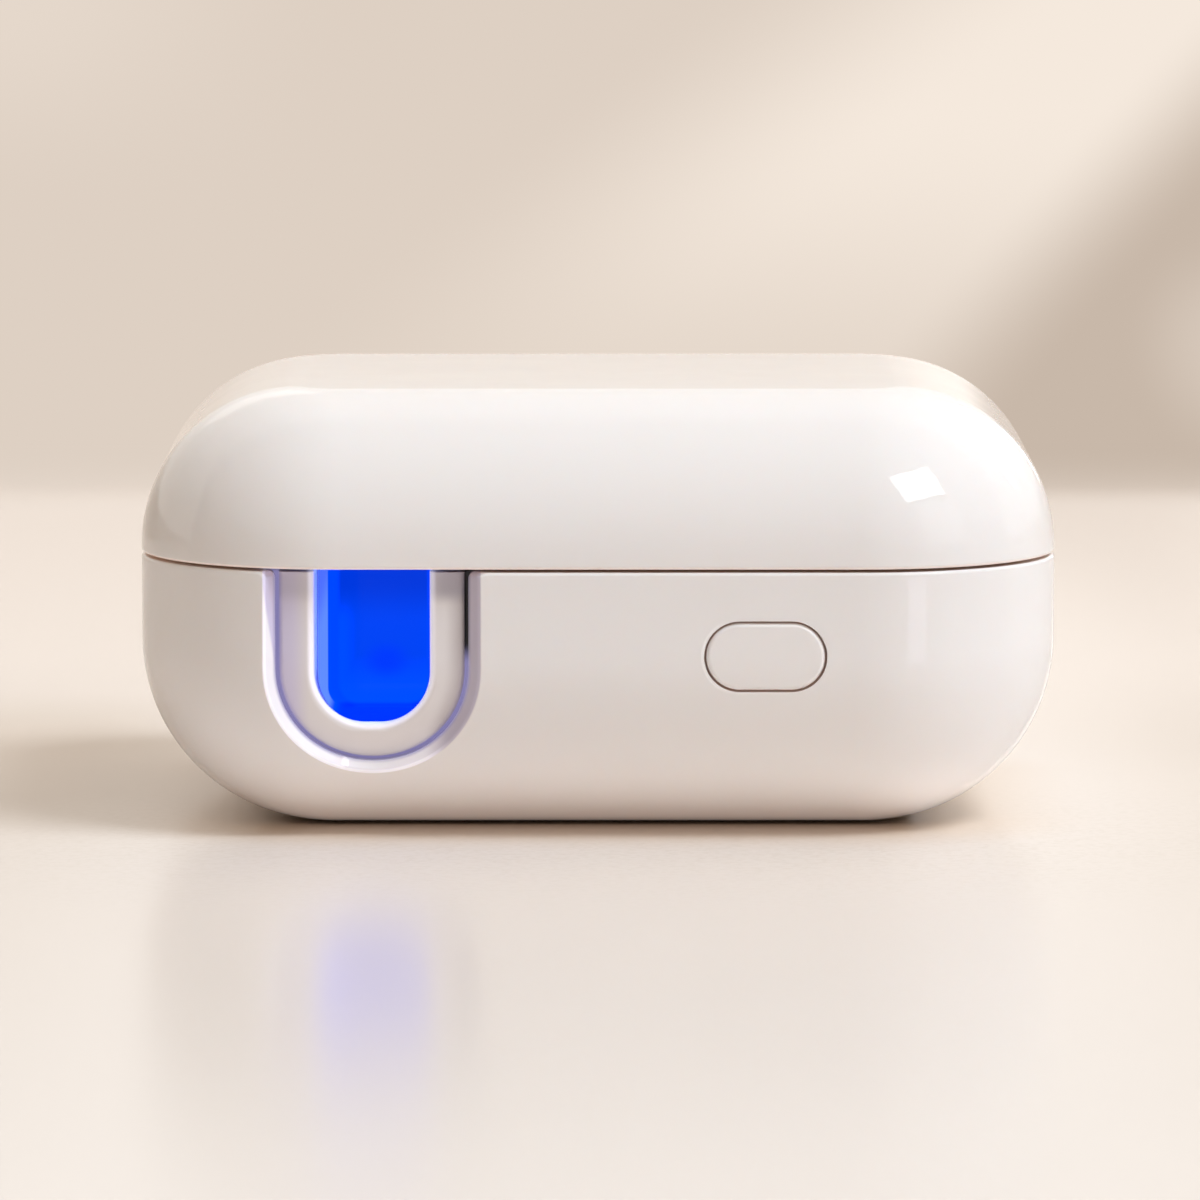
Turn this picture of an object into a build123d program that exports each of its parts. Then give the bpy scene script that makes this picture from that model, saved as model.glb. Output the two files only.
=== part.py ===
# Pocket UV cleaning case for a toothbrush head: a rounded two-part case on a rear hinge,
# with a U-shaped slot at the front left for the brush's neck and a push button at the front right.
# Millimetres, +Z up. The front is at -Y. The origin is the middle of the box round the whole
# object, on the surface that it stands on.

import os
from math import cos, radians, sin, sqrt

from build123d import *

# Outer form
case_width = 65.0
case_depth = 52.0
case_height = 31.0
plan_radius = 14.0
edge_radius = 13.2
lid_edge_radius = 11.3
shell_wall = 1.8
split_z = 19.2
rim_gap = 0.2
rim_round = 0.25
cut_past = 1.0

# Rear hinge: its axis runs along X on the split plane, just outside the back wall
hinge_offset = 0.4
barrel_radius = 1.4
web_height = 3.4
lid_knuckle_length = 15.5
base_knuckle_length = 5.0
knuckle_gap = 0.2
pocket_clearance = 0.25
pin_radius = 0.5
pin_press_gap = 0.01
pin_run_gap = 0.05
pin_end_recess = 0.3

# Neck slot at the front left
neck_from_left = 16.7
slot_width = 8.1
slot_corner = 3.5
slot_floor_z = 8.55
slot_fall = 8.0
neck_axis_z = 12.25
notch_radius = 6.75
notch_chamfer = 0.85
notch_corner = 0.5
bezel_gap = 0.2
bezel_recess = 1.2
bezel_plate = 0.8
bezel_lip_round = 0.5
bezel_flange = 1.0
bezel_flange_reach = 1.4
bezel_top_drop = 0.1
sleeve_wall = 1.7
sleeve_end_depth = 8.5
part_clearance = 0.15

# Brush cavity: a tray in the base, a liner in the lid and a thin bright sheet in each
cavity_width = 13.0
cavity_corner = 2.5
cavity_floor_z = 6.0
cavity_left_step = 0.1
cavity_start_gap = 0.6
cavity_back_depth = 32.0
reflector_sheet = 0.4
reflector_gap = 0.1
reflector_foot_round = 1.5
pan_wall = 1.0
deck_drop = 0.2
deck_thickness = 1.6
channel_wall = 1.0
liner_lift = 0.2
lid_roof_gap = 2.3

# Lamp side of the cavity
window_length = 14.0
window_height = 6.0
window_thickness = 0.6
window_ledge = 0.8
window_z = 12.4
led_board_length = 17.0
led_board_height = 9.0
led_board_thickness = 1.0
led_size = 3.0
led_thickness = 1.2
led_pitch = 4.4
led_count = 3
led_window_gap = 0.1
rail_grip = 0.8
rail_wall = 0.8
rail_gap = 0.05
header_length = 6.0
header_height = 2.5
header_depth = 1.6
header_pin_radius = 0.3
header_pin_pitch = 1.3
header_pin_count = 4
header_pin_short = 0.2
header_pin_gap = 0.01

# Main board
board_thickness = 1.0
board_top_z = 11.4
board_corner = 4.0
board_side_margin = 6.2
board_gap_from_lamp = 2.5
board_front_depth = 5.5
board_back_depth = 3.1
board_screw_inset = 2.6
board_boss_radius = 1.8
chip_size = 5.0
chip_height = 0.9
chip_gap = 4.0
sensor_width = 2.9
sensor_length = 1.6
sensor_height = 1.1
sensor_gap = 1.5

# Push button and its switch
button_from_middle = 11.7
button_z = 13.2
button_width = 8.6
button_height = 5.0
button_gap = 0.15
button_round = 0.3
button_flange = 0.8
button_flange_overhang = 0.6
button_flange_gap = 0.6
button_stem_width = 3.0
button_travel = 0.35
plunger_gap = 0.02
plunger_width = 2.4
plunger_height = 1.4
plunger_reach = 1.1
plunger_depth = 1.0
plunger_clearance = 0.1
switch_width = 6.0
switch_depth = 3.5
switch_setback = 0.1

# Charging socket
usb_from_middle = 11.7
usb_width = 8.94
usb_height = 3.26
usb_wall = 0.3
usb_length = 7.3
usb_port_gap = 0.25
usb_recess = 0.3
usb_tongue_width = 6.7
usb_tongue_thickness = 0.7
usb_tongue_length = 5.0
usb_block_length = 1.5

# Battery
battery_side_margin = 2.5
battery_front_margin = 5.5
battery_back_margin = 7.9
battery_height = 5.0
battery_round = 1.2
battery_pad_thickness = 0.5
battery_pad_inset = 3.0
fence_gap = 0.6
fence_wall = 0.8
fence_height = 2.2
lead_radius = 0.4
lead_pitch = 1.5
lead_bend = 1.0
plug_width = 4.6
plug_depth = 2.2
plug_height = 1.6
plug_from_battery = 4.5
plug_socket_height = 1.2

# Screws and magnets
boss_radius = 2.0
base_boss_wall_gap = 0.5
lid_boss_wall_gap = 3.7
boss_row_length = 14.0
screw_radius = 0.8
screw_gap = 0.02
screw_length = 4.0
screw_head_radius = 1.5
screw_head_height = 0.9
screw_seat_depth = 1.0
screw_slot_width = 0.4
screw_slot_depth = 0.4
magnet_radius = 2.0
magnet_thickness = 1.6
magnet_gap = 0.02
magnet_skin = 0.4
magnet_wall = 0.8
magnet_front_depth = 6.5
magnet_pitch = 20.0
magnet_from_right = 12.0

# Places worked out from the sizes above
case_centre_y = -(hinge_offset + barrel_radius) / 2
front_y = case_centre_y - case_depth / 2
back_y = case_centre_y + case_depth / 2
left_x = -case_width / 2
right_x = case_width / 2
hinge_y = back_y + hinge_offset
base_rim_z = split_z - rim_gap / 2
lid_rim_z = split_z + rim_gap / 2
before_front_y = front_y - cut_past
past_wall_y = front_y + plan_radius

slot_half = slot_width / 2
slot_lift = slot_floor_z - (neck_axis_z - slot_half)
pan_grow = reflector_sheet + reflector_gap + pan_wall
neck_x = left_x + neck_from_left
bezel_radius = notch_radius - bezel_gap
flange_radius = bezel_radius + bezel_flange_reach
flange_inset = bezel_recess + bezel_plate
channel_inset = flange_inset + bezel_flange
bezel_top_z = base_rim_z - bezel_top_drop
sleeve_radius = slot_half + sleeve_wall
sleeve_end_y = front_y + sleeve_end_depth
channel_radius = sleeve_radius + part_clearance
cavity_front_y = sleeve_end_y + cavity_start_gap
cavity_back_y = front_y + cavity_back_depth
cavity_x = neck_x - slot_half + cavity_left_step + cavity_width / 2
cavity_length = cavity_back_y - cavity_front_y
cavity_y = (cavity_front_y + cavity_back_y) / 2
pan_front_y = cavity_front_y - pan_grow
pan_right_x = cavity_x + cavity_width / 2 + pan_grow
pan_floor_z = cavity_floor_z - reflector_sheet
deck_top_z = base_rim_z - deck_drop
deck_under_z = deck_top_z - deck_thickness
liner_under_z = lid_rim_z + liner_lift
liner_top_z = liner_under_z + deck_thickness
lid_pan_roof_z = case_height - shell_wall - lid_roof_gap - pan_wall

led_board_x = pan_right_x + led_window_gap + led_thickness
led_board_back_x = led_board_x + led_board_thickness
board_left_x = led_board_back_x + board_gap_from_lamp
board_right_x = right_x - shell_wall - board_side_margin
board_front_y = front_y + board_front_depth
board_back_y = back_y - board_back_depth
board_x = (board_left_x + board_right_x) / 2
board_y = (board_front_y + board_back_y) / 2
board_width = board_right_x - board_left_x
board_length = board_back_y - board_front_y
board_under_z = board_top_z - board_thickness
board_screw_pitch_x = board_width - 2 * board_screw_inset
board_screw_pitch_y = board_length - 2 * board_screw_inset

button_x = button_from_middle
flange_front_y = front_y + shell_wall + button_flange_gap
flange_back_y = flange_front_y + button_flange
switch_height = 2 * (button_z - board_top_z)
switch_front_y = board_front_y + switch_setback
plunger_front_y = switch_front_y - plunger_reach
stem_back_y = plunger_front_y - plunger_gap
sensor_y = switch_front_y + switch_depth + sensor_gap + sensor_length / 2
usb_x = usb_from_middle
usb_z = board_top_z + usb_height / 2
usb_mouth_y = back_y - usb_recess
usb_inner_y = usb_mouth_y - usb_length
battery_width = board_width - 2 * battery_side_margin
battery_length = board_length - battery_front_margin - battery_back_margin
battery_y = board_front_y + battery_front_margin + battery_length / 2
battery_under_z = shell_wall + battery_pad_thickness
battery_middle_z = battery_under_z + battery_height / 2
plug_y = battery_y + battery_length / 2 + plug_from_battery
plug_top_z = board_under_z - plug_socket_height
tray_screw_x = right_x - shell_wall - base_boss_wall_gap - boss_radius
lid_screw_x = right_x - shell_wall - lid_boss_wall_gap - boss_radius
magnet_x = right_x - magnet_from_right - magnet_pitch / 2
magnet_y = front_y + magnet_front_depth


def pebble(inset):
    # The case's outer form, drawn in by inset all round
    with BuildPart() as form:
        with BuildSketch(Plane.XY.offset(inset)):
            with Locations((0, case_centre_y)):
                RectangleRounded(case_width - 2 * inset, case_depth - 2 * inset, plan_radius - inset)
        extrude(amount=case_height - 2 * inset)
        fillet(form.faces().filter_by(Axis.Z).sort_by(Axis.Z)[0].edges(), edge_radius - inset)
        fillet(form.faces().filter_by(Axis.Z).sort_by(Axis.Z)[-1].edges(), lid_edge_radius - inset)
    return form.part


def surface_inset(z):
    # How far the outer surface has curved in at height z
    above = z - (case_height - lid_edge_radius)
    radius = lid_edge_radius if above > 0.0 else edge_radius
    away = max(0.0, above, edge_radius - z)
    return radius - sqrt(radius**2 - away**2)


def neck_sketch(half_width, corner, top_z, y, lift=0.0):
    # A U about the neck's axis, upright at depth y, with straight sides up to top_z
    flat = half_width - corner
    floor_z = neck_axis_z - half_width + lift
    bend_z = floor_z + corner
    lean = corner * sqrt(0.5)
    with BuildSketch(Plane.XZ.offset(-y)) as u_shape:
        with BuildLine():
            ThreePointArc(
                (neck_x - half_width, bend_z),
                (neck_x - flat - lean, bend_z - lean),
                (neck_x - flat, floor_z),
            )
            if flat > 0:
                Line((neck_x - flat, floor_z), (neck_x + flat, floor_z))
            ThreePointArc(
                (neck_x + flat, floor_z),
                (neck_x + flat + lean, bend_z - lean),
                (neck_x + half_width, bend_z),
            )
            Polyline(
                (neck_x + half_width, bend_z),
                (neck_x + half_width, top_z),
                (neck_x - half_width, top_z),
                (neck_x - half_width, bend_z),
            )
        make_face()
    return u_shape.sketch


def neck_bar(radius, top_z, start_y, end_y):
    # A bar with a round foot along the neck's axis
    with BuildPart() as bar:
        extrude(to_extrude=neck_sketch(radius, radius, top_z, start_y), amount=start_y - end_y)
    return bar.part


def cavity_block(grow, closed_z, open_z, foot_round):
    # The brush cavity's form grown by grow, with its closed end rounded
    with BuildPart() as block:
        with BuildSketch(Plane.XY.offset(closed_z)):
            with Locations((cavity_x, cavity_y)):
                width = cavity_width + 2 * grow
                RectangleRounded(width, cavity_length + 2 * grow, cavity_corner + grow)
        extrude(amount=open_z - closed_z)
        closed_face = block.faces().filter_by_position(Axis.Z, closed_z - 0.01, closed_z + 0.01)
        fillet(closed_face.edges(), foot_round + grow)
    return block.part


def knuckle(start_x, length, web_end_z):
    # A round barrel on the hinge axis with a web that runs to the wall at web_end_z
    root_depth = shell_wall / 2
    with BuildPart() as solid:
        with BuildSketch(Plane.YZ.offset(start_x)):
            with Locations((hinge_y, split_z)):
                Circle(barrel_radius)
        extrude(amount=length)
        fillet(solid.edges().filter_by(GeomType.CIRCLE), rim_round)
        with BuildSketch(Plane.YZ.offset(start_x + rim_round)):
            with BuildLine():
                Polyline(
                    (hinge_y + barrel_radius, split_z),
                    (back_y - surface_inset(web_end_z), web_end_z),
                    (back_y - surface_inset(web_end_z) - root_depth, web_end_z),
                    (back_y - surface_inset(split_z) - root_depth, split_z),
                    close=True,
                )
            make_face()
        extrude(amount=length - 2 * rim_round)
    return solid.part


def screws(head_z, direction, centre, pitch_x, pitch_y):
    # Four pan-head screws whose heads seat at head_z and whose shafts run the other way
    seat = Plane.XY.offset(head_z)
    with BuildPart() as group:
        with BuildSketch(seat):
            with Locations(centre):
                with GridLocations(pitch_x, pitch_y, 2, 2):
                    Circle(screw_radius)
        extrude(amount=-direction * screw_length)
        with BuildSketch(seat):
            with Locations(centre):
                with GridLocations(pitch_x, pitch_y, 2, 2):
                    Circle(screw_head_radius)
        extrude(amount=direction * screw_head_height)
        with BuildSketch(Plane.XY.offset(head_z + direction * screw_head_height)):
            with Locations(centre):
                with GridLocations(pitch_x, pitch_y, 2, 2):
                    Rectangle(1.4 * screw_head_radius, screw_slot_width)
                    Rectangle(screw_slot_width, 1.4 * screw_head_radius)
        extrude(amount=-direction * screw_slot_depth, mode=Mode.SUBTRACT)
    return group.part


outer_form = pebble(0.0)
inner_form = pebble(shell_wall)
boss_form = pebble(shell_wall / 2)
fit_form = pebble(shell_wall + part_clearance)
bezel_face_form = pebble(bezel_recess)
flange_form = pebble(flange_inset)
channel_form = pebble(channel_inset)


# Base shell: bosses and the battery's corner fences, clipped so that they grow out of the wall
fence_inner_width = battery_width + 2 * fence_gap
fence_inner_length = battery_length + 2 * fence_gap
with BuildPart() as base_bosses:
    with BuildSketch():
        with Locations((0, case_centre_y)):
            with GridLocations(2 * tray_screw_x, boss_row_length, 2, 2):
                Circle(boss_radius)
    extrude(amount=deck_under_z)
    with BuildSketch():
        with Locations((board_x, board_y)):
            with GridLocations(board_screw_pitch_x, board_screw_pitch_y, 2, 2):
                Circle(board_boss_radius)
    extrude(amount=board_under_z)
    with BuildSketch():
        with Locations((board_x, battery_y)):
            Rectangle(fence_inner_width + 2 * fence_wall, fence_inner_length + 2 * fence_wall)
            Rectangle(fence_inner_width, fence_inner_length, mode=Mode.SUBTRACT)
            Rectangle(0.6 * battery_width, 2 * battery_length, mode=Mode.SUBTRACT)
            Rectangle(2 * battery_width, 0.6 * battery_length, mode=Mode.SUBTRACT)
    extrude(amount=shell_wall + fence_height)
    add(boss_form, mode=Mode.INTERSECT)

base_knuckle_x = lid_knuckle_length / 2 + knuckle_gap
barrel_half = base_knuckle_x + base_knuckle_length
with BuildPart() as base_knuckles:
    add(knuckle(base_knuckle_x, base_knuckle_length, split_z - web_height))
    mirror(about=Plane.YZ)

with BuildPart() as base_shell:
    add(outer_form)
    add(inner_form, mode=Mode.SUBTRACT)
    split(bisect_by=Plane.XY.offset(base_rim_z), keep=Keep.BOTTOM)
    # Notch for the neck, with a chamfer round its outer edge and rounded corners at the rim
    add(neck_bar(notch_radius, case_height, before_front_y, past_wall_y), mode=Mode.SUBTRACT)
    notch_edges = [
        edge
        for edge in base_shell.edges().filter_by_position(Axis.Y, before_front_y, past_wall_y)
        if abs(edge.center().X - neck_x) < notch_radius + bezel_gap
        and edge.center().Z < base_rim_z - rim_round
        and outer_form.shell().distance_to(Vertex(edge @ 0.5)) < 0.002
    ]
    chamfer(notch_edges, notch_chamfer)
    rim_face = base_shell.faces().filter_by(Axis.Z).sort_by(Axis.Z)[-1]
    notch_corners = [
        edge
        for edge in rim_face.edges().filter_by_position(Axis.Y, before_front_y, past_wall_y)
        if abs(abs(edge.center().X - neck_x) - notch_radius) < notch_chamfer and edge.length < shell_wall
    ]
    fillet(notch_corners, notch_corner)
    rim_face = base_shell.faces().filter_by(Axis.Z).sort_by(Axis.Z)[-1]
    rim_edges = [
        edge
        for edge in rim_face.edges()
        if outer_form.shell().distance_to(Vertex(edge @ 0.5)) < 0.002
    ]
    fillet(rim_edges, rim_round)
    # Button hole and charging port
    with BuildSketch(Plane.XZ.offset(-before_front_y)):
        with Locations((button_x, button_z)):
            SlotOverall(button_width, button_height)
    extrude(amount=-cut_past - 2 * shell_wall, mode=Mode.SUBTRACT)
    with BuildSketch(Plane.XZ.offset(-back_y - cut_past)):
        with Locations((usb_x, usb_z)):
            SlotOverall(usb_width + 2 * usb_port_gap, usb_height + 2 * usb_port_gap)
    extrude(amount=cut_past + 2 * shell_wall, mode=Mode.SUBTRACT)
    # Bosses with their screw holes
    add(base_bosses.part)
    with BuildSketch(Plane.XY.offset(deck_under_z)):
        with Locations((0, case_centre_y)):
            with GridLocations(2 * tray_screw_x, boss_row_length, 2, 2):
                Circle(screw_radius + screw_gap)
    extrude(amount=-screw_length, mode=Mode.SUBTRACT)
    with BuildSketch(Plane.XY.offset(board_under_z)):
        with Locations((board_x, board_y)):
            with GridLocations(board_screw_pitch_x, board_screw_pitch_y, 2, 2):
                Circle(screw_radius + screw_gap)
    extrude(amount=-screw_length, mode=Mode.SUBTRACT)
    # Hinge: room for the lid's knuckle, then the base's own knuckles and the pin's bore
    with BuildSketch(Plane.YZ.offset(-base_knuckle_x)):
        with Locations((hinge_y, split_z)):
            Circle(barrel_radius + pocket_clearance)
    extrude(amount=2 * base_knuckle_x, mode=Mode.SUBTRACT)
    add(base_knuckles.part)
    with BuildSketch(Plane.YZ.offset(-barrel_half - cut_past)):
        with Locations((hinge_y, split_z)):
            Circle(pin_radius + pin_press_gap)
    extrude(amount=2 * (barrel_half + cut_past), mode=Mode.SUBTRACT)
base_shell.part.label = "base_shell"

# Lid shell: bosses, clipped to grow out of the roof, and the middle knuckle
with BuildPart() as lid_bosses:
    with BuildSketch(Plane.XY.offset(liner_top_z)):
        with Locations((0, case_centre_y)):
            with GridLocations(2 * lid_screw_x, boss_row_length, 2, 2):
                Circle(boss_radius)
    extrude(amount=case_height - liner_top_z)
    add(boss_form, mode=Mode.INTERSECT)

with BuildPart() as lid_shell:
    add(outer_form)
    add(inner_form, mode=Mode.SUBTRACT)
    split(bisect_by=Plane.XY.offset(lid_rim_z), keep=Keep.TOP)
    fillet(lid_shell.faces().filter_by(Axis.Z).sort_by(Axis.Z)[0].outer_wire().edges(), rim_round)
    add(lid_bosses.part)
    with BuildSketch(Plane.XY.offset(liner_top_z)):
        with Locations((0, case_centre_y)):
            with GridLocations(2 * lid_screw_x, boss_row_length, 2, 2):
                Circle(screw_radius + screw_gap)
    extrude(amount=screw_length, mode=Mode.SUBTRACT)
    with BuildSketch(Plane.YZ.offset(-barrel_half - knuckle_gap)):
        with Locations((hinge_y, split_z)):
            Circle(barrel_radius + pocket_clearance)
    extrude(amount=2 * (barrel_half + knuckle_gap), mode=Mode.SUBTRACT)
    add(knuckle(-lid_knuckle_length / 2, lid_knuckle_length, split_z + web_height))
    with BuildSketch(Plane.YZ.offset(-lid_knuckle_length / 2 - cut_past)):
        with Locations((hinge_y, split_z)):
            Circle(pin_radius + pin_run_gap)
    extrude(amount=lid_knuckle_length + 2 * cut_past, mode=Mode.SUBTRACT)
lid_shell.part.label = "lid_shell"

with BuildPart() as hinge_pin:
    with BuildSketch(Plane.YZ.offset(-barrel_half + pin_end_recess)):
        with Locations((hinge_y, split_z)):
            Circle(pin_radius)
    extrude(amount=2 * (barrel_half - pin_end_recess))
hinge_pin.part.label = "hinge_pin"

# Neck bezel: a recessed U-shaped face, a flange behind the wall and a tapered sleeve
with BuildPart() as bezel_front:
    add(neck_bar(bezel_radius, bezel_top_z, before_front_y, past_wall_y))
    add(bezel_face_form, mode=Mode.INTERSECT)

with BuildPart() as bezel_sleeve:
    add(neck_bar(sleeve_radius, bezel_top_z, before_front_y, sleeve_end_y))
    add(bezel_face_form, mode=Mode.INTERSECT)

slot_start_y = front_y + bezel_recess
slot_end_y = cavity_front_y + cavity_corner
slot_direction = (0, cos(radians(slot_fall)), -sin(radians(slot_fall)))
slot_run = (slot_end_y - slot_start_y) / cos(radians(slot_fall))
with BuildPart() as slot_hole:
    slot_sketch = neck_sketch(slot_half, slot_corner, case_height, slot_start_y, slot_lift)
    extrude(to_extrude=slot_sketch, amount=slot_run, dir=slot_direction)
    extrude(to_extrude=slot_sketch, amount=shell_wall)

with BuildPart() as neck_bezel:
    add(neck_bar(flange_radius, bezel_top_z, before_front_y, past_wall_y))
    add(flange_form, mode=Mode.INTERSECT)
    add(bezel_front.part)
    add(channel_form, mode=Mode.SUBTRACT)
    add(bezel_sleeve.part)
    add(slot_hole.part, mode=Mode.SUBTRACT)
    lip_edges = [
        edge
        for edge in neck_bezel.edges().filter_by_position(Axis.Y, front_y, past_wall_y)
        if abs(edge.center().X - neck_x) < slot_half + bezel_gap
        and edge.center().Z < bezel_top_z - rim_round
        and bezel_face_form.shell().distance_to(Vertex(edge @ 0.5)) < 0.002
    ]
    fillet(lip_edges, bezel_lip_round)
neck_bezel.part.label = "neck_bezel"

# Cavity tray: a deck just under the rim, the brush pan, the trough round the neck's sleeve
with BuildPart() as neck_trough:
    add(neck_bar(channel_radius + channel_wall, deck_top_z, before_front_y, pan_front_y + pan_wall / 2))
    add(channel_form, mode=Mode.INTERSECT)

with BuildPart() as bezel_room:
    add(neck_bar(flange_radius + part_clearance, case_height, before_front_y, past_wall_y))
    add(channel_form, mode=Mode.SUBTRACT)

rail_end_y = led_board_length / 2 + rail_gap
rail_foot_z = window_z - led_board_height / 2
with BuildPart() as led_rails:
    with BuildSketch(Plane.XY.offset(rail_foot_z - rail_wall)):
        rail_left_x = pan_right_x - pan_wall / 2
        rail_right_x = led_board_back_x + rail_gap + rail_wall
        rail_length = rail_grip + rail_gap + rail_wall
        with Locations(((rail_left_x + rail_right_x) / 2, cavity_y)):
            with GridLocations(0, 2 * rail_end_y - 2 * rail_grip + rail_length, 1, 2):
                Rectangle(rail_right_x - rail_left_x, rail_length)
    extrude(amount=deck_under_z - rail_foot_z + rail_wall)
    with BuildSketch(Plane.XY.offset(rail_foot_z)):
        with Locations((led_board_x + led_board_thickness / 2, cavity_y)):
            Rectangle(led_board_thickness + 2 * rail_gap, 2 * rail_end_y)
    extrude(amount=case_height, mode=Mode.SUBTRACT)

with BuildPart() as cavity_tray:
    add(fit_form)
    split(bisect_by=Plane.XY.offset(deck_top_z), keep=Keep.BOTTOM)
    split(bisect_by=Plane.XY.offset(deck_under_z), keep=Keep.TOP)
    add(cavity_block(pan_grow, pan_floor_z - pan_wall, deck_top_z, reflector_foot_round))
    add(neck_trough.part)
    add(led_rails.part)
    with BuildSketch(Plane.XY.offset(deck_top_z - magnet_skin - magnet_thickness)):
        with Locations((magnet_x, magnet_y)):
            with GridLocations(magnet_pitch, 0, 2, 1):
                Circle(magnet_radius + magnet_gap + magnet_wall)
    extrude(amount=magnet_thickness)
    add(cavity_block(pan_grow - pan_wall, pan_floor_z, case_height, reflector_foot_round), mode=Mode.SUBTRACT)
    add(neck_bar(channel_radius, case_height, before_front_y, cavity_front_y), mode=Mode.SUBTRACT)
    add(slot_hole.part, mode=Mode.SUBTRACT)
    add(bezel_room.part, mode=Mode.SUBTRACT)
    # Lamp window: a recess from outside and a smaller opening through the wall
    with BuildSketch(Plane.YZ.offset(pan_right_x)):
        with Locations((cavity_y, window_z)):
            Rectangle(window_length + 2 * rail_gap, window_height + 2 * rail_gap)
    extrude(amount=-window_thickness, mode=Mode.SUBTRACT)
    with BuildSketch(Plane.YZ.offset(pan_right_x)):
        with Locations((cavity_y, window_z)):
            Rectangle(window_length - 2 * window_ledge, window_height - 2 * window_ledge)
    extrude(amount=-2 * pan_wall, mode=Mode.SUBTRACT)
    # Magnet pockets from below, screw holes with sunk seats from above
    with BuildSketch(Plane.XY.offset(deck_top_z - magnet_skin)):
        with Locations((magnet_x, magnet_y)):
            with GridLocations(magnet_pitch, 0, 2, 1):
                Circle(magnet_radius + magnet_gap)
    extrude(amount=-2 * magnet_thickness, mode=Mode.SUBTRACT)
    with BuildSketch(Plane.XY.offset(deck_top_z)):
        with Locations((0, case_centre_y)):
            with GridLocations(2 * tray_screw_x, boss_row_length, 2, 2):
                Circle(screw_radius + part_clearance)
    extrude(amount=-deck_thickness, mode=Mode.SUBTRACT)
    with BuildSketch(Plane.XY.offset(deck_top_z)):
        with Locations((0, case_centre_y)):
            with GridLocations(2 * tray_screw_x, boss_row_length, 2, 2):
                Circle(screw_head_radius + part_clearance)
    extrude(amount=-screw_seat_depth, mode=Mode.SUBTRACT)
cavity_tray.part.label = "cavity_tray"

with BuildPart() as base_reflector:
    add(cavity_block(reflector_sheet, pan_floor_z, deck_top_z, reflector_foot_round))
    add(cavity_block(0, cavity_floor_z, case_height, reflector_foot_round), mode=Mode.SUBTRACT)
    add(slot_hole.part, mode=Mode.SUBTRACT)
    with BuildSketch(Plane.YZ.offset(pan_right_x)):
        with Locations((cavity_y, window_z)):
            Rectangle(window_length - 2 * window_ledge, window_height - 2 * window_ledge)
    extrude(amount=-pan_grow - reflector_sheet, mode=Mode.SUBTRACT)
base_reflector.part.label = "base_reflector"

# Lid liner and its reflector, upside down in the same way
with BuildPart() as lid_liner:
    add(fit_form)
    split(bisect_by=Plane.XY.offset(liner_top_z), keep=Keep.BOTTOM)
    split(bisect_by=Plane.XY.offset(liner_under_z), keep=Keep.TOP)
    add(cavity_block(pan_grow, lid_pan_roof_z + pan_wall, liner_under_z, reflector_foot_round))
    with BuildSketch(Plane.XY.offset(liner_under_z)):
        with Locations((magnet_x, magnet_y)):
            with GridLocations(magnet_pitch, 0, 2, 1):
                Circle(magnet_radius + magnet_gap + magnet_wall)
    extrude(amount=magnet_skin + magnet_thickness)
    add(cavity_block(pan_grow - pan_wall, lid_pan_roof_z, 0, reflector_foot_round), mode=Mode.SUBTRACT)
    with BuildSketch(Plane.XY.offset(liner_under_z + magnet_skin)):
        with Locations((magnet_x, magnet_y)):
            with GridLocations(magnet_pitch, 0, 2, 1):
                Circle(magnet_radius + magnet_gap)
    extrude(amount=2 * magnet_thickness, mode=Mode.SUBTRACT)
    with BuildSketch(Plane.XY.offset(liner_under_z)):
        with Locations((0, case_centre_y)):
            with GridLocations(2 * lid_screw_x, boss_row_length, 2, 2):
                Circle(screw_radius + part_clearance)
    extrude(amount=deck_thickness, mode=Mode.SUBTRACT)
    with BuildSketch(Plane.XY.offset(liner_under_z)):
        with Locations((0, case_centre_y)):
            with GridLocations(2 * lid_screw_x, boss_row_length, 2, 2):
                Circle(screw_head_radius + part_clearance)
    extrude(amount=screw_seat_depth, mode=Mode.SUBTRACT)
lid_liner.part.label = "lid_liner"

with BuildPart() as lid_reflector:
    add(cavity_block(reflector_sheet, lid_pan_roof_z, liner_under_z, reflector_foot_round))
    sheet_under_z = lid_pan_roof_z - reflector_sheet
    add(cavity_block(0, sheet_under_z, 0, reflector_foot_round), mode=Mode.SUBTRACT)
lid_reflector.part.label = "lid_reflector"

# Screws and magnets
tray_screws_part = screws(
    deck_top_z - screw_seat_depth, 1, (0, case_centre_y), 2 * tray_screw_x, boss_row_length
)
tray_screws_part.label = "tray_screws"
lid_screws_part = screws(
    liner_under_z + screw_seat_depth, -1, (0, case_centre_y), 2 * lid_screw_x, boss_row_length
)
lid_screws_part.label = "lid_screws"
board_screws_part = screws(
    board_top_z, 1, (board_x, board_y), board_screw_pitch_x, board_screw_pitch_y
)
board_screws_part.label = "board_screws"

with BuildPart() as base_magnets:
    with BuildSketch(Plane.XY.offset(deck_top_z - magnet_skin)):
        with Locations((magnet_x, magnet_y)):
            with GridLocations(magnet_pitch, 0, 2, 1):
                Circle(magnet_radius)
    extrude(amount=-magnet_thickness)
base_magnets.part.label = "base_magnets"

with BuildPart() as lid_magnets:
    with BuildSketch(Plane.XY.offset(liner_under_z + magnet_skin)):
        with Locations((magnet_x, magnet_y)):
            with GridLocations(magnet_pitch, 0, 2, 1):
                Circle(magnet_radius)
    extrude(amount=magnet_thickness)
lid_magnets.part.label = "lid_magnets"

# Lamp: window, lamp board and its three light sources
with BuildPart() as lamp_window:
    with BuildSketch(Plane.YZ.offset(pan_right_x)):
        with Locations((cavity_y, window_z)):
            Rectangle(window_length, window_height)
    extrude(amount=-window_thickness)
lamp_window.part.label = "lamp_window"

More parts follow.
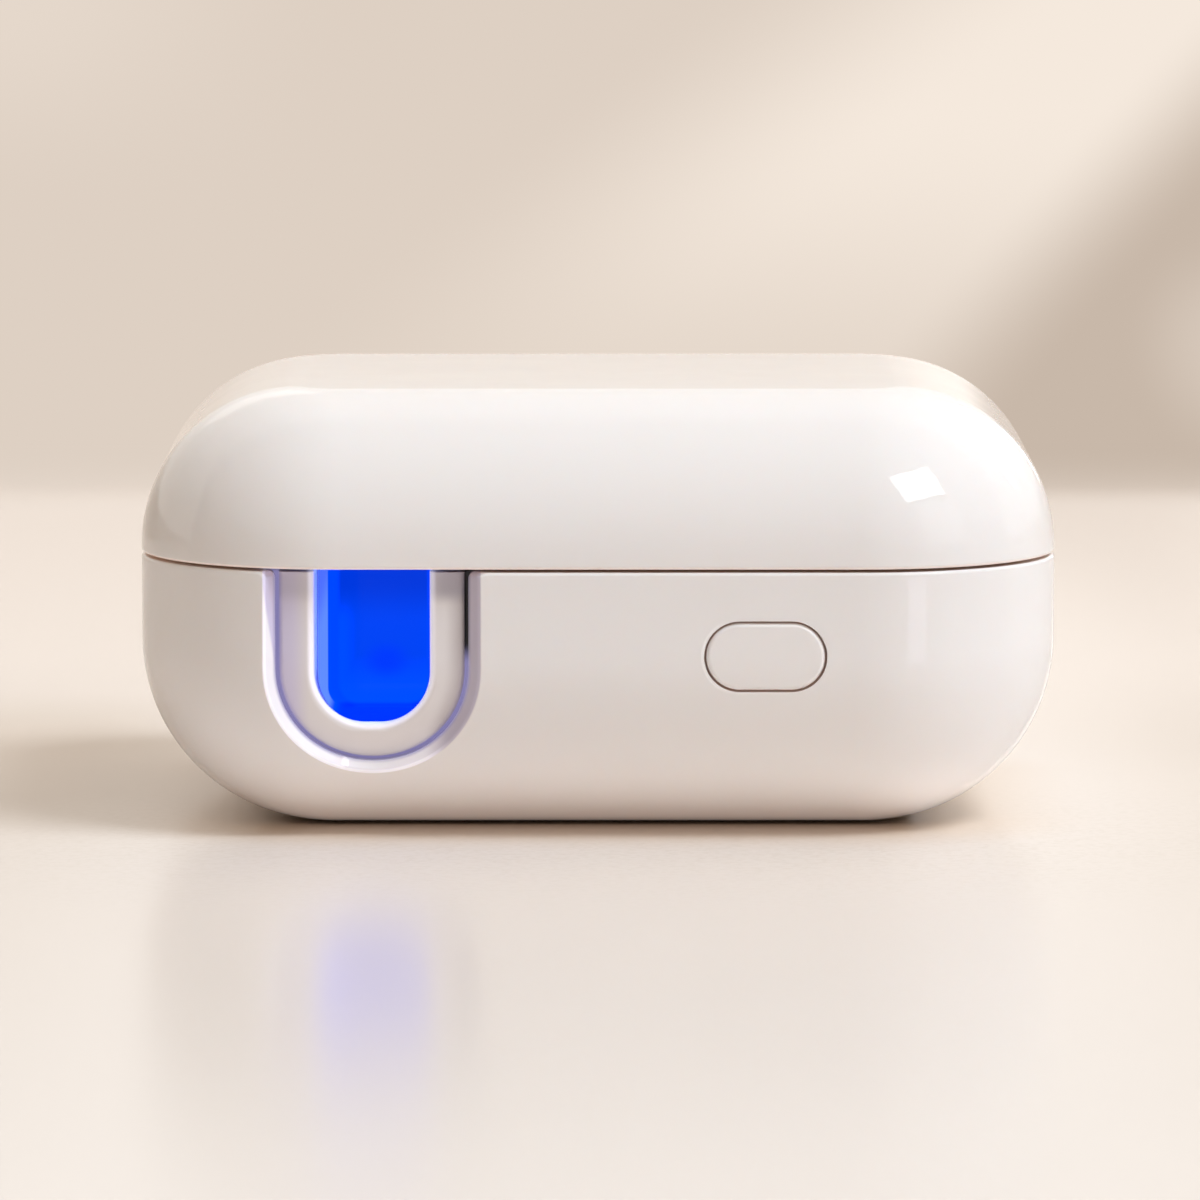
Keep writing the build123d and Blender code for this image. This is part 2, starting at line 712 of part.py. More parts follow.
with BuildPart() as lamp_leds:
    with BuildSketch(Plane.YZ.offset(led_board_x)):
        with Locations((cavity_y, window_z)):
            with GridLocations(led_pitch, 0, led_count, 1):
                Rectangle(led_size, led_size)
    extrude(amount=-led_thickness)
lamp_leds.part.label = "lamp_leds"

header_pin_z = window_z
header_top_z = board_top_z + header_height
with BuildPart() as lamp_board:
    with BuildSketch(Plane.YZ.offset(led_board_x)):
        with Locations((cavity_y, window_z)):
            Rectangle(led_board_length, led_board_height)
    extrude(amount=led_board_thickness)
    with BuildSketch(Plane.YZ.offset(led_board_back_x)):
        with Locations((cavity_y, header_pin_z)):
            with GridLocations(header_pin_pitch, 0, header_pin_count, 1):
                Circle(header_pin_radius + header_pin_gap)
    extrude(amount=-led_board_thickness + header_pin_short / 2, mode=Mode.SUBTRACT)
lamp_board.part.label = "lamp_board"

with BuildPart() as lamp_header:
    with BuildSketch(Plane.XY.offset(board_top_z)):
        with Locations((board_left_x + header_depth / 2, cavity_y)):
            Rectangle(header_depth, header_length)
    extrude(amount=header_height)
    with BuildSketch(Plane.YZ.offset(board_left_x)):
        with Locations((cavity_y, header_pin_z)):
            with GridLocations(header_pin_pitch, 0, header_pin_count, 1):
                Circle(header_pin_radius + header_pin_gap)
    extrude(amount=0.75 * header_depth, mode=Mode.SUBTRACT)
lamp_header.part.label = "lamp_header"

header_pin_end_x = board_left_x + 0.75 * header_depth
header_pin_start_x = led_board_x + header_pin_short
with BuildPart() as header_pins:
    with BuildSketch(Plane.YZ.offset(header_pin_start_x)):
        with Locations((cavity_y, header_pin_z)):
            with GridLocations(header_pin_pitch, 0, header_pin_count, 1):
                Circle(header_pin_radius)
    extrude(amount=header_pin_end_x - header_pin_start_x)
header_pins.part.label = "header_pins"

# Main board and what sits on it
with BuildPart() as main_board:
    with BuildSketch(Plane.XY.offset(board_under_z)):
        with Locations((board_x, board_y)):
            RectangleRounded(board_width, board_length, board_corner)
            with GridLocations(board_screw_pitch_x, board_screw_pitch_y, 2, 2):
                Circle(screw_radius + part_clearance, mode=Mode.SUBTRACT)
    extrude(amount=board_thickness)
main_board.part.label = "main_board"

with BuildPart() as board_chips:
    with BuildSketch(Plane.XY.offset(board_top_z)):
        with Locations((board_x, board_y)):
            with GridLocations(chip_size + chip_gap, chip_size + chip_gap, 2, 2):
                Rectangle(chip_size, chip_size)
    extrude(amount=chip_height)
board_chips.part.label = "board_chips"

with BuildPart() as lid_sensor:
    with BuildSketch(Plane.XY.offset(board_top_z)):
        with Locations((button_x, sensor_y)):
            Rectangle(sensor_width, sensor_length)
    extrude(amount=sensor_height)
lid_sensor.part.label = "lid_sensor"

inner_height = usb_height - 2 * usb_wall
with BuildPart() as usb_socket:
    with BuildSketch(Plane.XZ.offset(-usb_inner_y)):
        with Locations((usb_x, usb_z)):
            RectangleRounded(usb_width, usb_height, usb_height / 2 - 0.01)
    extrude(amount=-usb_length)
    with BuildSketch(Plane.XZ.offset(-usb_inner_y - usb_wall)):
        with Locations((usb_x, usb_z)):
            RectangleRounded(usb_width - 2 * usb_wall, inner_height, inner_height / 2 - 0.01)
    extrude(amount=-usb_length, mode=Mode.SUBTRACT)
usb_socket.part.label = "usb_socket"

with BuildPart() as usb_tongue:
    with BuildSketch(Plane.XZ.offset(-usb_inner_y - usb_wall)):
        with Locations((usb_x, usb_z)):
            RectangleRounded(usb_width - 2 * usb_wall, inner_height, inner_height / 2 - 0.01)
    extrude(amount=-usb_block_length)
    with BuildSketch(Plane.XZ.offset(-usb_inner_y - usb_wall)):
        with Locations((usb_x, usb_z)):
            Rectangle(usb_tongue_width, usb_tongue_thickness)
    extrude(amount=-usb_block_length - usb_tongue_length + usb_wall)
usb_tongue.part.label = "usb_tongue"

# Button, switch body and the switch's moving plunger
with BuildPart() as button_cap:
    with BuildSketch(Plane.XZ.offset(-before_front_y)):
        with Locations((button_x, button_z)):
            SlotOverall(button_width - 2 * button_gap, button_height - 2 * button_gap)
    extrude(amount=before_front_y - flange_back_y)
    add(outer_form, mode=Mode.INTERSECT)
    face_edges = [
        edge
        for edge in button_cap.edges()
        if outer_form.shell().distance_to(Vertex(edge @ 0.5)) < 0.002
        and edge.length > button_gap
        and edge.center().Y < flange_front_y
    ]
    fillet(face_edges, button_round)
    with BuildSketch(Plane.XZ.offset(-flange_front_y)):
        with Locations((button_x, button_z)):
            flange_width = button_width + 2 * button_flange_overhang
            SlotOverall(flange_width, button_height + 2 * button_flange_overhang)
    extrude(amount=-button_flange)
    with BuildSketch(Plane.XZ.offset(-flange_back_y)):
        with Locations((button_x, button_z)):
            RectangleRounded(button_stem_width, plunger_height, 0.3)
    extrude(amount=flange_back_y - stem_back_y)
button_cap.part.label = "button_cap"

with BuildPart() as tact_switch:
    with BuildSketch(Plane.XZ.offset(-switch_front_y)):
        with Locations((button_x, button_z)):
            Rectangle(switch_width, switch_height)
    extrude(amount=-switch_depth)
    with BuildSketch(Plane.XZ.offset(-switch_front_y)):
        with Locations((button_x, button_z)):
            hole_width = plunger_width + 2 * plunger_clearance
            Rectangle(hole_width, plunger_height + 2 * plunger_clearance)
    extrude(amount=-plunger_depth - button_travel - plunger_clearance, mode=Mode.SUBTRACT)
tact_switch.part.label = "tact_switch"

with BuildPart() as switch_plunger:
    with BuildSketch(Plane.XZ.offset(-plunger_front_y)):
        with Locations((button_x, button_z)):
            Rectangle(plunger_width, plunger_height)
    extrude(amount=-plunger_reach - plunger_depth)
switch_plunger.part.label = "switch_plunger"

# Battery, its tape, its leads and its plug
with BuildPart() as battery_cell:
    with BuildSketch(Plane.XY.offset(battery_under_z)):
        with Locations((board_x, battery_y)):
            Rectangle(battery_width, battery_length)
    extrude(amount=battery_height)
    fillet(battery_cell.edges(), battery_round)
battery_cell.part.label = "battery_cell"

with BuildPart() as battery_tape:
    with BuildSketch(Plane.XY.offset(shell_wall)):
        with Locations((board_x, battery_y)):
            tape_width = battery_width - 2 * battery_pad_inset
            Rectangle(tape_width, battery_length - 2 * battery_pad_inset)
    extrude(amount=battery_pad_thickness)
battery_tape.part.label = "battery_tape"

with BuildPart() as plug_socket:
    with BuildSketch(Plane.XY.offset(board_under_z)):
        with Locations((board_x, plug_y)):
            Rectangle(plug_width, plug_depth)
    extrude(amount=-plug_socket_height)
plug_socket.part.label = "plug_socket"

with BuildPart() as battery_plug:
    with BuildSketch(Plane.XY.offset(plug_top_z)):
        with Locations((board_x, plug_y)):
            Rectangle(plug_width, plug_depth)
    extrude(amount=-plug_height)
battery_plug.part.label = "battery_plug"

lead_start_y = battery_y + battery_length / 2
plug_under_z = plug_top_z - plug_height
with BuildPart() as lead:
    with BuildLine():
        FilletPolyline(
            (board_x, lead_start_y, battery_middle_z),
            (board_x, plug_y, battery_middle_z),
            (board_x, plug_y, plug_under_z),
            radius=lead_bend,
        )
    with BuildSketch(Plane.XZ.offset(-lead_start_y)):
        with Locations((board_x, battery_middle_z)):
            Circle(lead_radius)
    sweep()
with BuildPart() as battery_leads:
    with Locations((-lead_pitch / 2, 0, 0), (lead_pitch / 2, 0, 0)):
        add(lead.part)
battery_leads.part.label = "battery_leads"

os.makedirs("parts", exist_ok=True)
export_step(base_shell.part, "parts/base_shell.step")
export_step(lid_shell.part, "parts/lid_shell.step")
export_step(hinge_pin.part, "parts/hinge_pin.step")
export_step(neck_bezel.part, "parts/neck_bezel.step")
export_step(cavity_tray.part, "parts/cavity_tray.step")
export_step(base_reflector.part, "parts/base_reflector.step")
export_step(lid_liner.part, "parts/lid_liner.step")
export_step(lid_reflector.part, "parts/lid_reflector.step")
export_step(tray_screws_part, "parts/tray_screws.step")
export_step(lid_screws_part, "parts/lid_screws.step")
export_step(board_screws_part, "parts/board_screws.step")
export_step(base_magnets.part, "parts/base_magnets.step")
export_step(lid_magnets.part, "parts/lid_magnets.step")
export_step(lamp_window.part, "parts/lamp_window.step")
export_step(lamp_leds.part, "parts/lamp_leds.step")
export_step(lamp_board.part, "parts/lamp_board.step")
export_step(lamp_header.part, "parts/lamp_header.step")
export_step(header_pins.part, "parts/header_pins.step")
export_step(main_board.part, "parts/main_board.step")
export_step(board_chips.part, "parts/board_chips.step")
export_step(lid_sensor.part, "parts/lid_sensor.step")
export_step(usb_socket.part, "parts/usb_socket.step")
export_step(usb_tongue.part, "parts/usb_tongue.step")
export_step(button_cap.part, "parts/button_cap.step")
export_step(tact_switch.part, "parts/tact_switch.step")
export_step(switch_plunger.part, "parts/switch_plunger.step")
export_step(battery_cell.part, "parts/battery_cell.step")
export_step(battery_tape.part, "parts/battery_tape.step")
export_step(plug_socket.part, "parts/plug_socket.step")
export_step(battery_plug.part, "parts/battery_plug.step")
export_step(battery_leads.part, "parts/battery_leads.step")
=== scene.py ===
# Pocket cleaning case for a toothbrush head: finishes, small pieces, stage, lights and camera.
# Metres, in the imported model's own frame: X to the right, Y to the back, Z up.
import math

import bmesh
import bpy
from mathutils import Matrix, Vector


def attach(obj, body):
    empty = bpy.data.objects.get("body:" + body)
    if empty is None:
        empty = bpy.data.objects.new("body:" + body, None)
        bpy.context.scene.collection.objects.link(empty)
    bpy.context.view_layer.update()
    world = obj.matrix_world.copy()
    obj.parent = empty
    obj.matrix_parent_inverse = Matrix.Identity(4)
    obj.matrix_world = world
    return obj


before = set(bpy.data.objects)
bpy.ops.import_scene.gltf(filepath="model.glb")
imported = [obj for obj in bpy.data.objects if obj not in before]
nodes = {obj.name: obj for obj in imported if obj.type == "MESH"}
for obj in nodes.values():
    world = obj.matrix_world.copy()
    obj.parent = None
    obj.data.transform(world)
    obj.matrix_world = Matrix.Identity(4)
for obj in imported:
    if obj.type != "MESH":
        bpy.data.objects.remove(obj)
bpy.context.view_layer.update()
print("frame loaded:", len(nodes), "parts")

# Camera, low and far in front of the case
view = {
    "place": (0.00014, -0.6269, 0.0844),
    "downTilt": 6.39,
    "lens": 260.0,
}


def makeCamera():
    lens = bpy.data.cameras.new("viewCamera")
    lens.lens = view["lens"]
    camera = bpy.data.objects.new("viewCamera", lens)
    camera.location = view["place"]
    camera.rotation_euler = (math.radians(90.0 - view["downTilt"]), 0.0, 0.0)
    bpy.context.scene.collection.objects.link(camera)
    bpy.context.scene.camera = camera
    print("camera placed")


makeCamera()


# Tools for the finishes
class Wire:  # one socket, so that a mask can be written as a sum
    def __init__(self, finish, socket):
        self.finish = finish
        self.socket = socket

    def math(self, operation, first, second=0.0):
        return self.finish.node("ShaderNodeMath", {"operation": operation}, {0: first, 1: second})

    def __add__(self, other):
        return self.math("ADD", self, other)

    def __radd__(self, other):
        return self.math("ADD", other, self)

    def __sub__(self, other):
        return self.math("SUBTRACT", self, other)

    def __rsub__(self, other):
        return self.math("SUBTRACT", other, self)

    def __mul__(self, other):
        return self.math("MULTIPLY", self, other)

    def __rmul__(self, other):
        return self.math("MULTIPLY", other, self)

    def __pow__(self, other):
        return self.math("POWER", self, other)

    def __abs__(self):
        return self.math("ABSOLUTE", self)


class Finish:  # a material, with short names for the nodes that it uses most
    def __init__(self, name, tree=None):
        if tree is None:
            self.material = bpy.data.materials.new(name)
            self.material.use_nodes = True
            tree = self.material.node_tree
        self.tree = tree
        self.tree.nodes.clear()
        self.place = self.node("ShaderNodeTexCoord", output="Object")
        axes = self.node("ShaderNodeSeparateXYZ", None, {0: self.place}, (0, 1, 2))
        self.x, self.y, self.z = axes

    def node(self, kind, settings=None, inputs=None, output=0):
        made = self.tree.nodes.new(kind)
        for key, value in (settings or {}).items():
            setattr(made, key, value)
        for key, value in (inputs or {}).items():
            if isinstance(value, Wire):
                self.tree.links.new(value.socket, made.inputs[key])
            elif isinstance(value, tuple) and len(value) == 3 and len(made.inputs[key].default_value) == 4:
                made.inputs[key].default_value = (*value, 1.0)
            else:
                made.inputs[key].default_value = value
        if isinstance(output, tuple):
            return [Wire(self, made.outputs[name]) for name in output]
        return Wire(self, made.outputs[output])

    def noise(self, scale, detail=2.0, roughness=0.5, place=None):
        inputs = {"Vector": place or self.place, "Scale": scale, "Detail": detail, "Roughness": roughness}
        return self.node("ShaderNodeTexNoise", None, inputs, "Fac")

    def cells(self, scale, feature="F1", randomness=1.0):
        inputs = {"Vector": self.place, "Scale": scale, "Randomness": randomness}
        return self.node("ShaderNodeTexVoronoi", {"feature": feature}, inputs, "Distance")

    def ramp(self, value, low, high):  # 0 below low, 1 above high, smooth between
        settings = {"interpolation_type": "SMOOTHSTEP"}
        return self.node("ShaderNodeMapRange", settings, {0: value, 1: low, 2: high})

    def fall(self, value, low, high):  # 1 below low, 0 above high
        return 1.0 - self.ramp(value, low, high)

    def step(self, value, limit, soft):  # from 0 to 1 at limit
        return self.ramp(value, limit - soft, limit + soft)

    def band(self, value, low, high, soft):  # 1 between low and high
        return self.step(value, low, soft) * (1.0 - self.step(value, high, soft))

    def wave(self, value, half):  # climbs to half and falls back to 0
        return self.node("ShaderNodeMath", {"operation": "PINGPONG"}, {0: value, 1: half})

    def larger(self, first, second):
        return self.node("ShaderNodeMath", {"operation": "MAXIMUM"}, {0: first, 1: second})

    def distance(self, first, second):
        return (first * first + second * second) ** 0.5

    def mix(self, first, second, mask):
        return self.node("ShaderNodeMix", {"data_type": "RGBA"}, {0: mask, 6: first, 7: second}, 2)

    def glow(self, colour, mask):  # light given off where the mask is 1
        return self.mix((0.0, 0.0, 0.0), colour, mask)

    def bump(self, height, distance):
        return self.node("ShaderNodeBump", None, {"Height": height, "Distance": distance, "Strength": 1.0})

    def plastic(self, inputs):
        return self.node("ShaderNodeBsdfPrincipled", None, inputs)

    def done(self, shader):
        self.node("ShaderNodeOutputMaterial", None, {"Surface": shader}, ())
        return self.material


def dress(name, material):
    slots = nodes[name].material_slots
    for slot in slots:
        slot.material = material
    if not slots:
        nodes[name].data.materials.append(material)


# Glossy white shell plastic of the two halves and the button, with rare specks and painted warm light in
# the seam
shellFinish = {
    "colour": (0.800, 0.782, 0.772),
    "warmColour": (0.815, 0.785, 0.762),
    "cloudScale": 45.0,
    "speckColour": (0.46, 0.42, 0.40),
    "speckScale": 420.0,
    "speckSize": (0.02, 0.07),
    "speckRare": (0.66, 0.70),
    "speckRareScale": 260.0,
    "speckShare": 0.45,
    "roughness": 0.5,
    "smear": 0.06,
    "smearScale": 90.0,
    "specular": 0.12,
    "coatRoughness": 0.012,
    "rippleScale": 110.0,
    "rippleHeight": 0.000003,
    "grainScale": 3200.0,
    "translucency": 0.16,
    "translucentDepth": 0.0012,
    "translucentSpread": (1.0, 0.62, 0.46),
    "seam": (0.01912, 0.01948),
    "seamPaintedLight": (0.110, 0.052, 0.030),
}

# The button's outline, for the painted warm light in the gap round it and the painted highlight on its rims
buttonGap = {
    "x": 0.0117,
    "z": 0.0132,
    "halfFlat": 0.0018,
    "inner": 0.00229,
    "outer": 0.00256,
    "rim": 0.00016,
    "rimSoft": 0.00005,
    "litFade": (-0.0005, 0.0025),
    "faceY": (-0.02675, -0.02655),
    "glow": (0.050, 0.028, 0.021),
    "rimPaintedHighlight": (0.090, 0.086, 0.084),
}

# The neck notch and its satin surround, with painted lavender light and shade, painted dark gaps, painted
# highlights on the lips, and painted blue light inside the slot
neck = {
    "x": -0.0158,
    "axisZ": 0.01225,
    "ringEdge": 0.00762,
    "ringSoft": 0.00006,
    "ringLip": 0.00022,
    "frontY": (-0.0242, -0.0230),
    "ringRight": (0.0034, 0.0056),
    "ringLeft": (-0.0050, -0.0030),
    "ringDeep": (0.0067, 0.0070),
    "unlitZ": (0.0125, 0.0140),
    # the painted lavender shadow of the lid across the notch's edge, at its upper left
    "lidShadowSlope": 0.15,
    "lidShadowZ": 0.0120,
    "lidShadowReach": 0.0067,
    "left": (-0.0058, -0.0042),
    "right": (0.0036, 0.0052),
    "rightReach": (0.0050, 0.0065),
    "topZ": (0.0166, 0.0178),
    "lipReach": (0.0043, 0.0046),
    "lipY": (-0.0244, -0.0238),
    "flangeReach": (0.00644, 0.00652),
    "shutRight": (0.0050, 0.0060),
    "slotReach": (0.0040, 0.0043),
    "slotY": (-0.0248, -0.0240),
    "colour": (0.790, 0.762, 0.762),
    "paleColour": (0.80, 0.77, 0.76),
    # Painted light and shade, from lavender to notchGlow: lavender shade and lid shadow, shade on the right
    # and under the lid, a highlight on the lips, lavender light and dark shade in the gaps, blue light in
    # the slot, and the notch's edge lit pale or shaded
    "lavender": (0.650, 0.605, 0.830),
    "rightShade": (0.500, 0.450, 0.460),
    "topShade": (0.410, 0.390, 0.460),
    "lip": (0.300, 0.300, 0.360),
    "gap": (0.170, 0.155, 0.300),
    "gapColour": (0.200, 0.190, 0.270),
    "shutColour": (0.03, 0.03, 0.04),
    "slotGlow": (0.120, 0.250, 0.920),
    "notchPale": (0.860, 0.850, 0.880),
    "notchShade": (0.540, 0.500, 0.580),
    "notchGlow": (0.080, 0.070, 0.100),
    "satin": 0.30,
    "grainScale": 2600.0,
    "grainHeight": 0.000002,
}


def neckPlace(skin):  # distance to the right of the neck's middle, and distance from the U's spine
    side = skin.x - neck["x"]
    drop = skin.larger(neck["axisZ"] - skin.z, 0.0)
    return side, skin.distance(side, drop)


def paintButtonGapLight(skin, glow):  # painted warm light inside the gap, and a painted highlight on the rims that face the window
    along = skin.x - buttonGap["x"]
    up = skin.z - buttonGap["z"]
    pill = skin.distance(skin.larger(abs(along) - buttonGap["halfFlat"], 0.0), up)
    inner, outer = buttonGap["inner"], buttonGap["outer"]
    rim, soft = buttonGap["rim"], buttonGap["rimSoft"]
    face = skin.fall(skin.y, *buttonGap["faceY"])
    gap = skin.band(pill, inner, outer, 0.00003) * (1.0 - face)
    glow = skin.mix(glow, buttonGap["glow"], gap)
    lowerLeft = skin.ramp(0.0 - along - up, *buttonGap["litFade"])
    upperRight = skin.ramp(along + up, *buttonGap["litFade"])
    lit = skin.band(pill, outer, outer + rim, soft) * lowerLeft
    lit = lit + skin.band(pill, inner - rim, inner, soft) * upperRight
    return skin.mix(glow, buttonGap["rimPaintedHighlight"], lit * face)


def paintNotchLight(skin, colour, glow):  # the notch's slanting edge, darker at its right in painted shade, and the gap behind, all in painted light and shade
    side, reach = neckPlace(skin)
    front = skin.fall(skin.y, *neck["frontY"])
    # Painted light on the edge's left and bottom with a painted highlight on its rim, painted shade at its
    # right, a painted lavender shadow of the lid at its upper left, and painted dark shade with painted
    # lavender light in the gap behind, left out at the upper right
    ring = (1.0 - skin.step(reach, neck["ringEdge"], neck["ringSoft"])) * front
    right = skin.ramp(side, *neck["ringRight"])
    slope = neck["lidShadowSlope"] * (skin.z - neck["lidShadowZ"]) - (reach - neck["lidShadowReach"])
    lidShadow = skin.step(slope, 0.0, 0.0001) * skin.fall(side, *neck["ringLeft"])
    pale = skin.mix(neck["notchPale"], neck["lavender"], lidShadow * 0.9)
    deep = skin.fall(reach, *neck["ringDeep"]) * front
    unlit = right * skin.ramp(skin.z, *neck["unlitZ"])
    lip = skin.band(reach, neck["ringEdge"] - neck["ringLip"], neck["ringEdge"], 0.00005) * front
    colour = skin.mix(colour, skin.mix(pale, neck["notchShade"], right), ring)
    colour = skin.mix(colour, neck["gapColour"], deep)
    glow = skin.mix(glow, neck["notchGlow"], ring * (1.0 - right) * (1.0 - 0.7 * lidShadow))
    glow = skin.mix(glow, neck["lip"], lip * (1.0 - 0.8 * right) * 0.6)
    return colour, skin.mix(glow, neck["gap"], deep * (1.0 - unlit))


def makeShellWhite(name, warmth, notched=False):
    skin = Finish(name)
    cloud = skin.noise(shellFinish["cloudScale"], 3.0)
    colour = skin.mix(shellFinish["colour"], shellFinish["warmColour"], cloud * warmth)
    speck = skin.fall(skin.cells(shellFinish["speckScale"]), *shellFinish["speckSize"])
    speck = speck * skin.ramp(skin.noise(shellFinish["speckRareScale"], 1.0), *shellFinish["speckRare"])
    colour = skin.mix(colour, shellFinish["speckColour"], speck * shellFinish["speckShare"])
    # Painted warm light glowing in the seam gap between the halves
    glow = skin.glow(shellFinish["seamPaintedLight"], skin.band(skin.z, *shellFinish["seam"], 0.00002))
    glow = paintButtonGapLight(skin, glow)
    if notched:
        colour, glow = paintNotchLight(skin, colour, glow)
    smear = skin.noise(shellFinish["smearScale"], 4.0, 0.6)
    ripple = skin.noise(shellFinish["rippleScale"], 1.0)
    grain = skin.noise(shellFinish["grainScale"], 2.0)
    return skin.done(skin.plastic({
        "Base Color": colour,
        "Roughness": shellFinish["roughness"] + shellFinish["smear"] * smear,
        "Specular IOR Level": shellFinish["specular"],
        "Subsurface Weight": shellFinish["translucency"],
        "Subsurface Radius": shellFinish["translucentSpread"],
        "Subsurface Scale": shellFinish["translucentDepth"],
        "Coat Weight": 1.0 - 0.15 * smear,
        "Coat Roughness": shellFinish["coatRoughness"],
        "Coat IOR": 1.5,
        "Emission Color": glow,
        "Emission Strength": 1.0,
        "Normal": skin.bump(ripple + 0.02 * grain, shellFinish["rippleHeight"]),
    }))


dress("lid_shell", makeShellWhite("lidWhite", 0.9))
dress("base_shell", makeShellWhite("baseWhite", 0.5, True))
dress("button_cap", makeShellWhite("buttonWhite", 0.7))


def makeBezel():
    skin = Finish("bezelSatin")
    side, reach = neckPlace(skin)
    # Painted light and shade on the surround: lavender shade on the left arm, shade on the outer right arm
    # and under the lid's edge, dark shade in the gap at the flange, darkest at its upper right, a highlight
    # on the slot's lip, lavender light in the gap, and blue light on the slot's inner walls
    left = skin.fall(side, *neck["left"])
    right = skin.ramp(side, *neck["right"])
    top = skin.ramp(skin.z, *neck["topZ"]) * (0.35 + 0.45 * right)
    flange = skin.ramp(reach, *neck["flangeReach"])
    shut = skin.ramp(side, *neck["shutRight"]) * skin.ramp(skin.z, *neck["unlitZ"])
    colour = skin.mix(neck["colour"], neck["paleColour"], skin.noise(300.0, 3.0) * 0.4)
    colour = skin.mix(colour, neck["lavender"], left * 0.75)
    colour = skin.mix(colour, neck["rightShade"], right * skin.ramp(reach, *neck["rightReach"]) * 0.8)
    colour = skin.mix(colour, neck["topShade"], top)
    colour = skin.mix(colour, neck["gapColour"], flange)
    colour = skin.mix(colour, neck["shutColour"], flange * shut)
    lip = skin.fall(reach, *neck["lipReach"]) * skin.fall(skin.y, *neck["lipY"]) * (1.0 - 0.75 * right)
    inside = skin.fall(reach, *neck["slotReach"]) * skin.ramp(skin.y, *neck["slotY"])
    glow = skin.glow(neck["lip"], lip * 0.8)
    glow = skin.mix(glow, neck["gap"], flange * (1.0 - shut))
    glow = skin.mix(glow, neck["slotGlow"], inside)
    grain = skin.noise(neck["grainScale"], 3.0)
    return skin.done(skin.plastic({
        "Base Color": colour,
        "Roughness": neck["satin"] + 0.08 * grain,
        "Coat Weight": 0.15 + 0.1 * skin.noise(120.0),
        "Coat Roughness": 0.1,
        "Emission Color": glow,
        "Emission Strength": 1.0,
        "Normal": skin.bump(grain, neck["grainHeight"]),
    }))


dress("neck_bezel", makeBezel())
print("shells and surround finished")

# Bright sheets in the cavity given painted blue light, glowing though they are no lamp: a brighter patch at
# the back, darker towards the top in painted shade
paintedCavityLight = {
    "basePower": 1.0,
    "lidPower": 1.5,
    "patchX": -0.01574,
    "patchHalf": 0.00337,
    "patchCorner": 0.0016,
    "patchFoot": 0.0060,
    "patchRim": (-0.0003, 0.0001),
    "patchY": (0.0022, 0.0028),
    "lowZ": (0.0070, 0.0098),
    "leftX": (-0.0188, -0.0176),
    "leftZ": (0.0120, 0.0145),
    "topZ": (0.0118, 0.0152),
    "footZ": (0.0060, 0.0064),
    "stripX": (-0.01963, -0.01920),
    "stripY": (0.0020, 0.0028),
    "stripZ": (0.0130, 0.0170),
    "spot": (-0.01555, 0.0092),
    "spotFade": (0.0003, 0.0022),
    "ring": (0.000, 0.062, 1.200),
    "middle": (0.000, 0.057, 0.800),
    "bright": (0.000, 0.076, 1.300),
    "dark": (0.000, 0.040, 0.880),
    "top": (0.000, 0.038, 0.600),
    "floor": (0.000, 0.022, 1.000),
    "strip": (0.120, 0.250, 0.930),
    "stripTop": (0.078, 0.150, 0.750),
    "sheet": (0.0, 0.010, 0.080),
    "sheetPale": (0.0, 0.020, 0.120),
}


def makePaintedGlow(name, power):
    skin = Finish(name)
    # Painted light and shade over each sheet: a patch at the back with a brighter ring round it, brighter
    # low down and at the left edge, a darker spot, darker towards the top, a deep blue foot and a paler
    # strip on the left wall
    away = abs(skin.x - paintedCavityLight["patchX"]) - (paintedCavityLight["patchHalf"] - paintedCavityLight["patchCorner"])
    under = paintedCavityLight["patchFoot"] + paintedCavityLight["patchCorner"] - skin.z
    rim = skin.distance(skin.larger(away, 0.0), skin.larger(under, 0.0)) - paintedCavityLight["patchCorner"]
    patch = skin.fall(rim, *paintedCavityLight["patchRim"]) * skin.ramp(skin.y, *paintedCavityLight["patchY"])
    low = skin.fall(skin.z, *paintedCavityLight["lowZ"])
    leftEdge = skin.fall(skin.x, *paintedCavityLight["leftX"]) * skin.fall(skin.z, *paintedCavityLight["leftZ"])
    spotX, spotZ = paintedCavityLight["spot"]
    spot = skin.fall(skin.distance(skin.x - spotX, (skin.z - spotZ) * 1.3), *paintedCavityLight["spotFade"])
    foot = skin.fall(skin.z, *paintedCavityLight["footZ"]) * (1.0 - patch)
    leftWall = skin.fall(skin.x, *paintedCavityLight["stripX"]) * skin.fall(skin.y, *paintedCavityLight["stripY"])
    strip = skin.mix(paintedCavityLight["strip"], paintedCavityLight["stripTop"], skin.ramp(skin.z, *paintedCavityLight["stripZ"]))
    colour = skin.mix(paintedCavityLight["middle"], paintedCavityLight["bright"], skin.larger(low, leftEdge * 0.8))
    colour = skin.mix(colour, paintedCavityLight["dark"], spot * 0.9)
    colour = skin.mix(colour, paintedCavityLight["top"], skin.ramp(skin.z, *paintedCavityLight["topZ"]))
    colour = skin.mix(paintedCavityLight["ring"], colour, patch)
    colour = skin.mix(colour, paintedCavityLight["floor"], foot)
    colour = skin.mix(colour, strip, leftWall)
    return skin.done(skin.plastic({
        "Base Color": skin.mix(paintedCavityLight["sheet"], paintedCavityLight["sheetPale"], skin.noise(180.0, 2.0)),
        "Roughness": 0.28 + 0.1 * skin.noise(500.0, 3.0),
        "Specular IOR Level": 0.12,
        "Emission Color": colour,
        "Emission Strength": power,
        "Normal": skin.bump(skin.noise(220.0, 2.0), 0.000006),
    }))


dress("base_reflector", makePaintedGlow("glowSheetBase", paintedCavityLight["basePower"]))
dress("lid_reflector", makePaintedGlow("glowSheetLid", paintedCavityLight["lidPower"]))

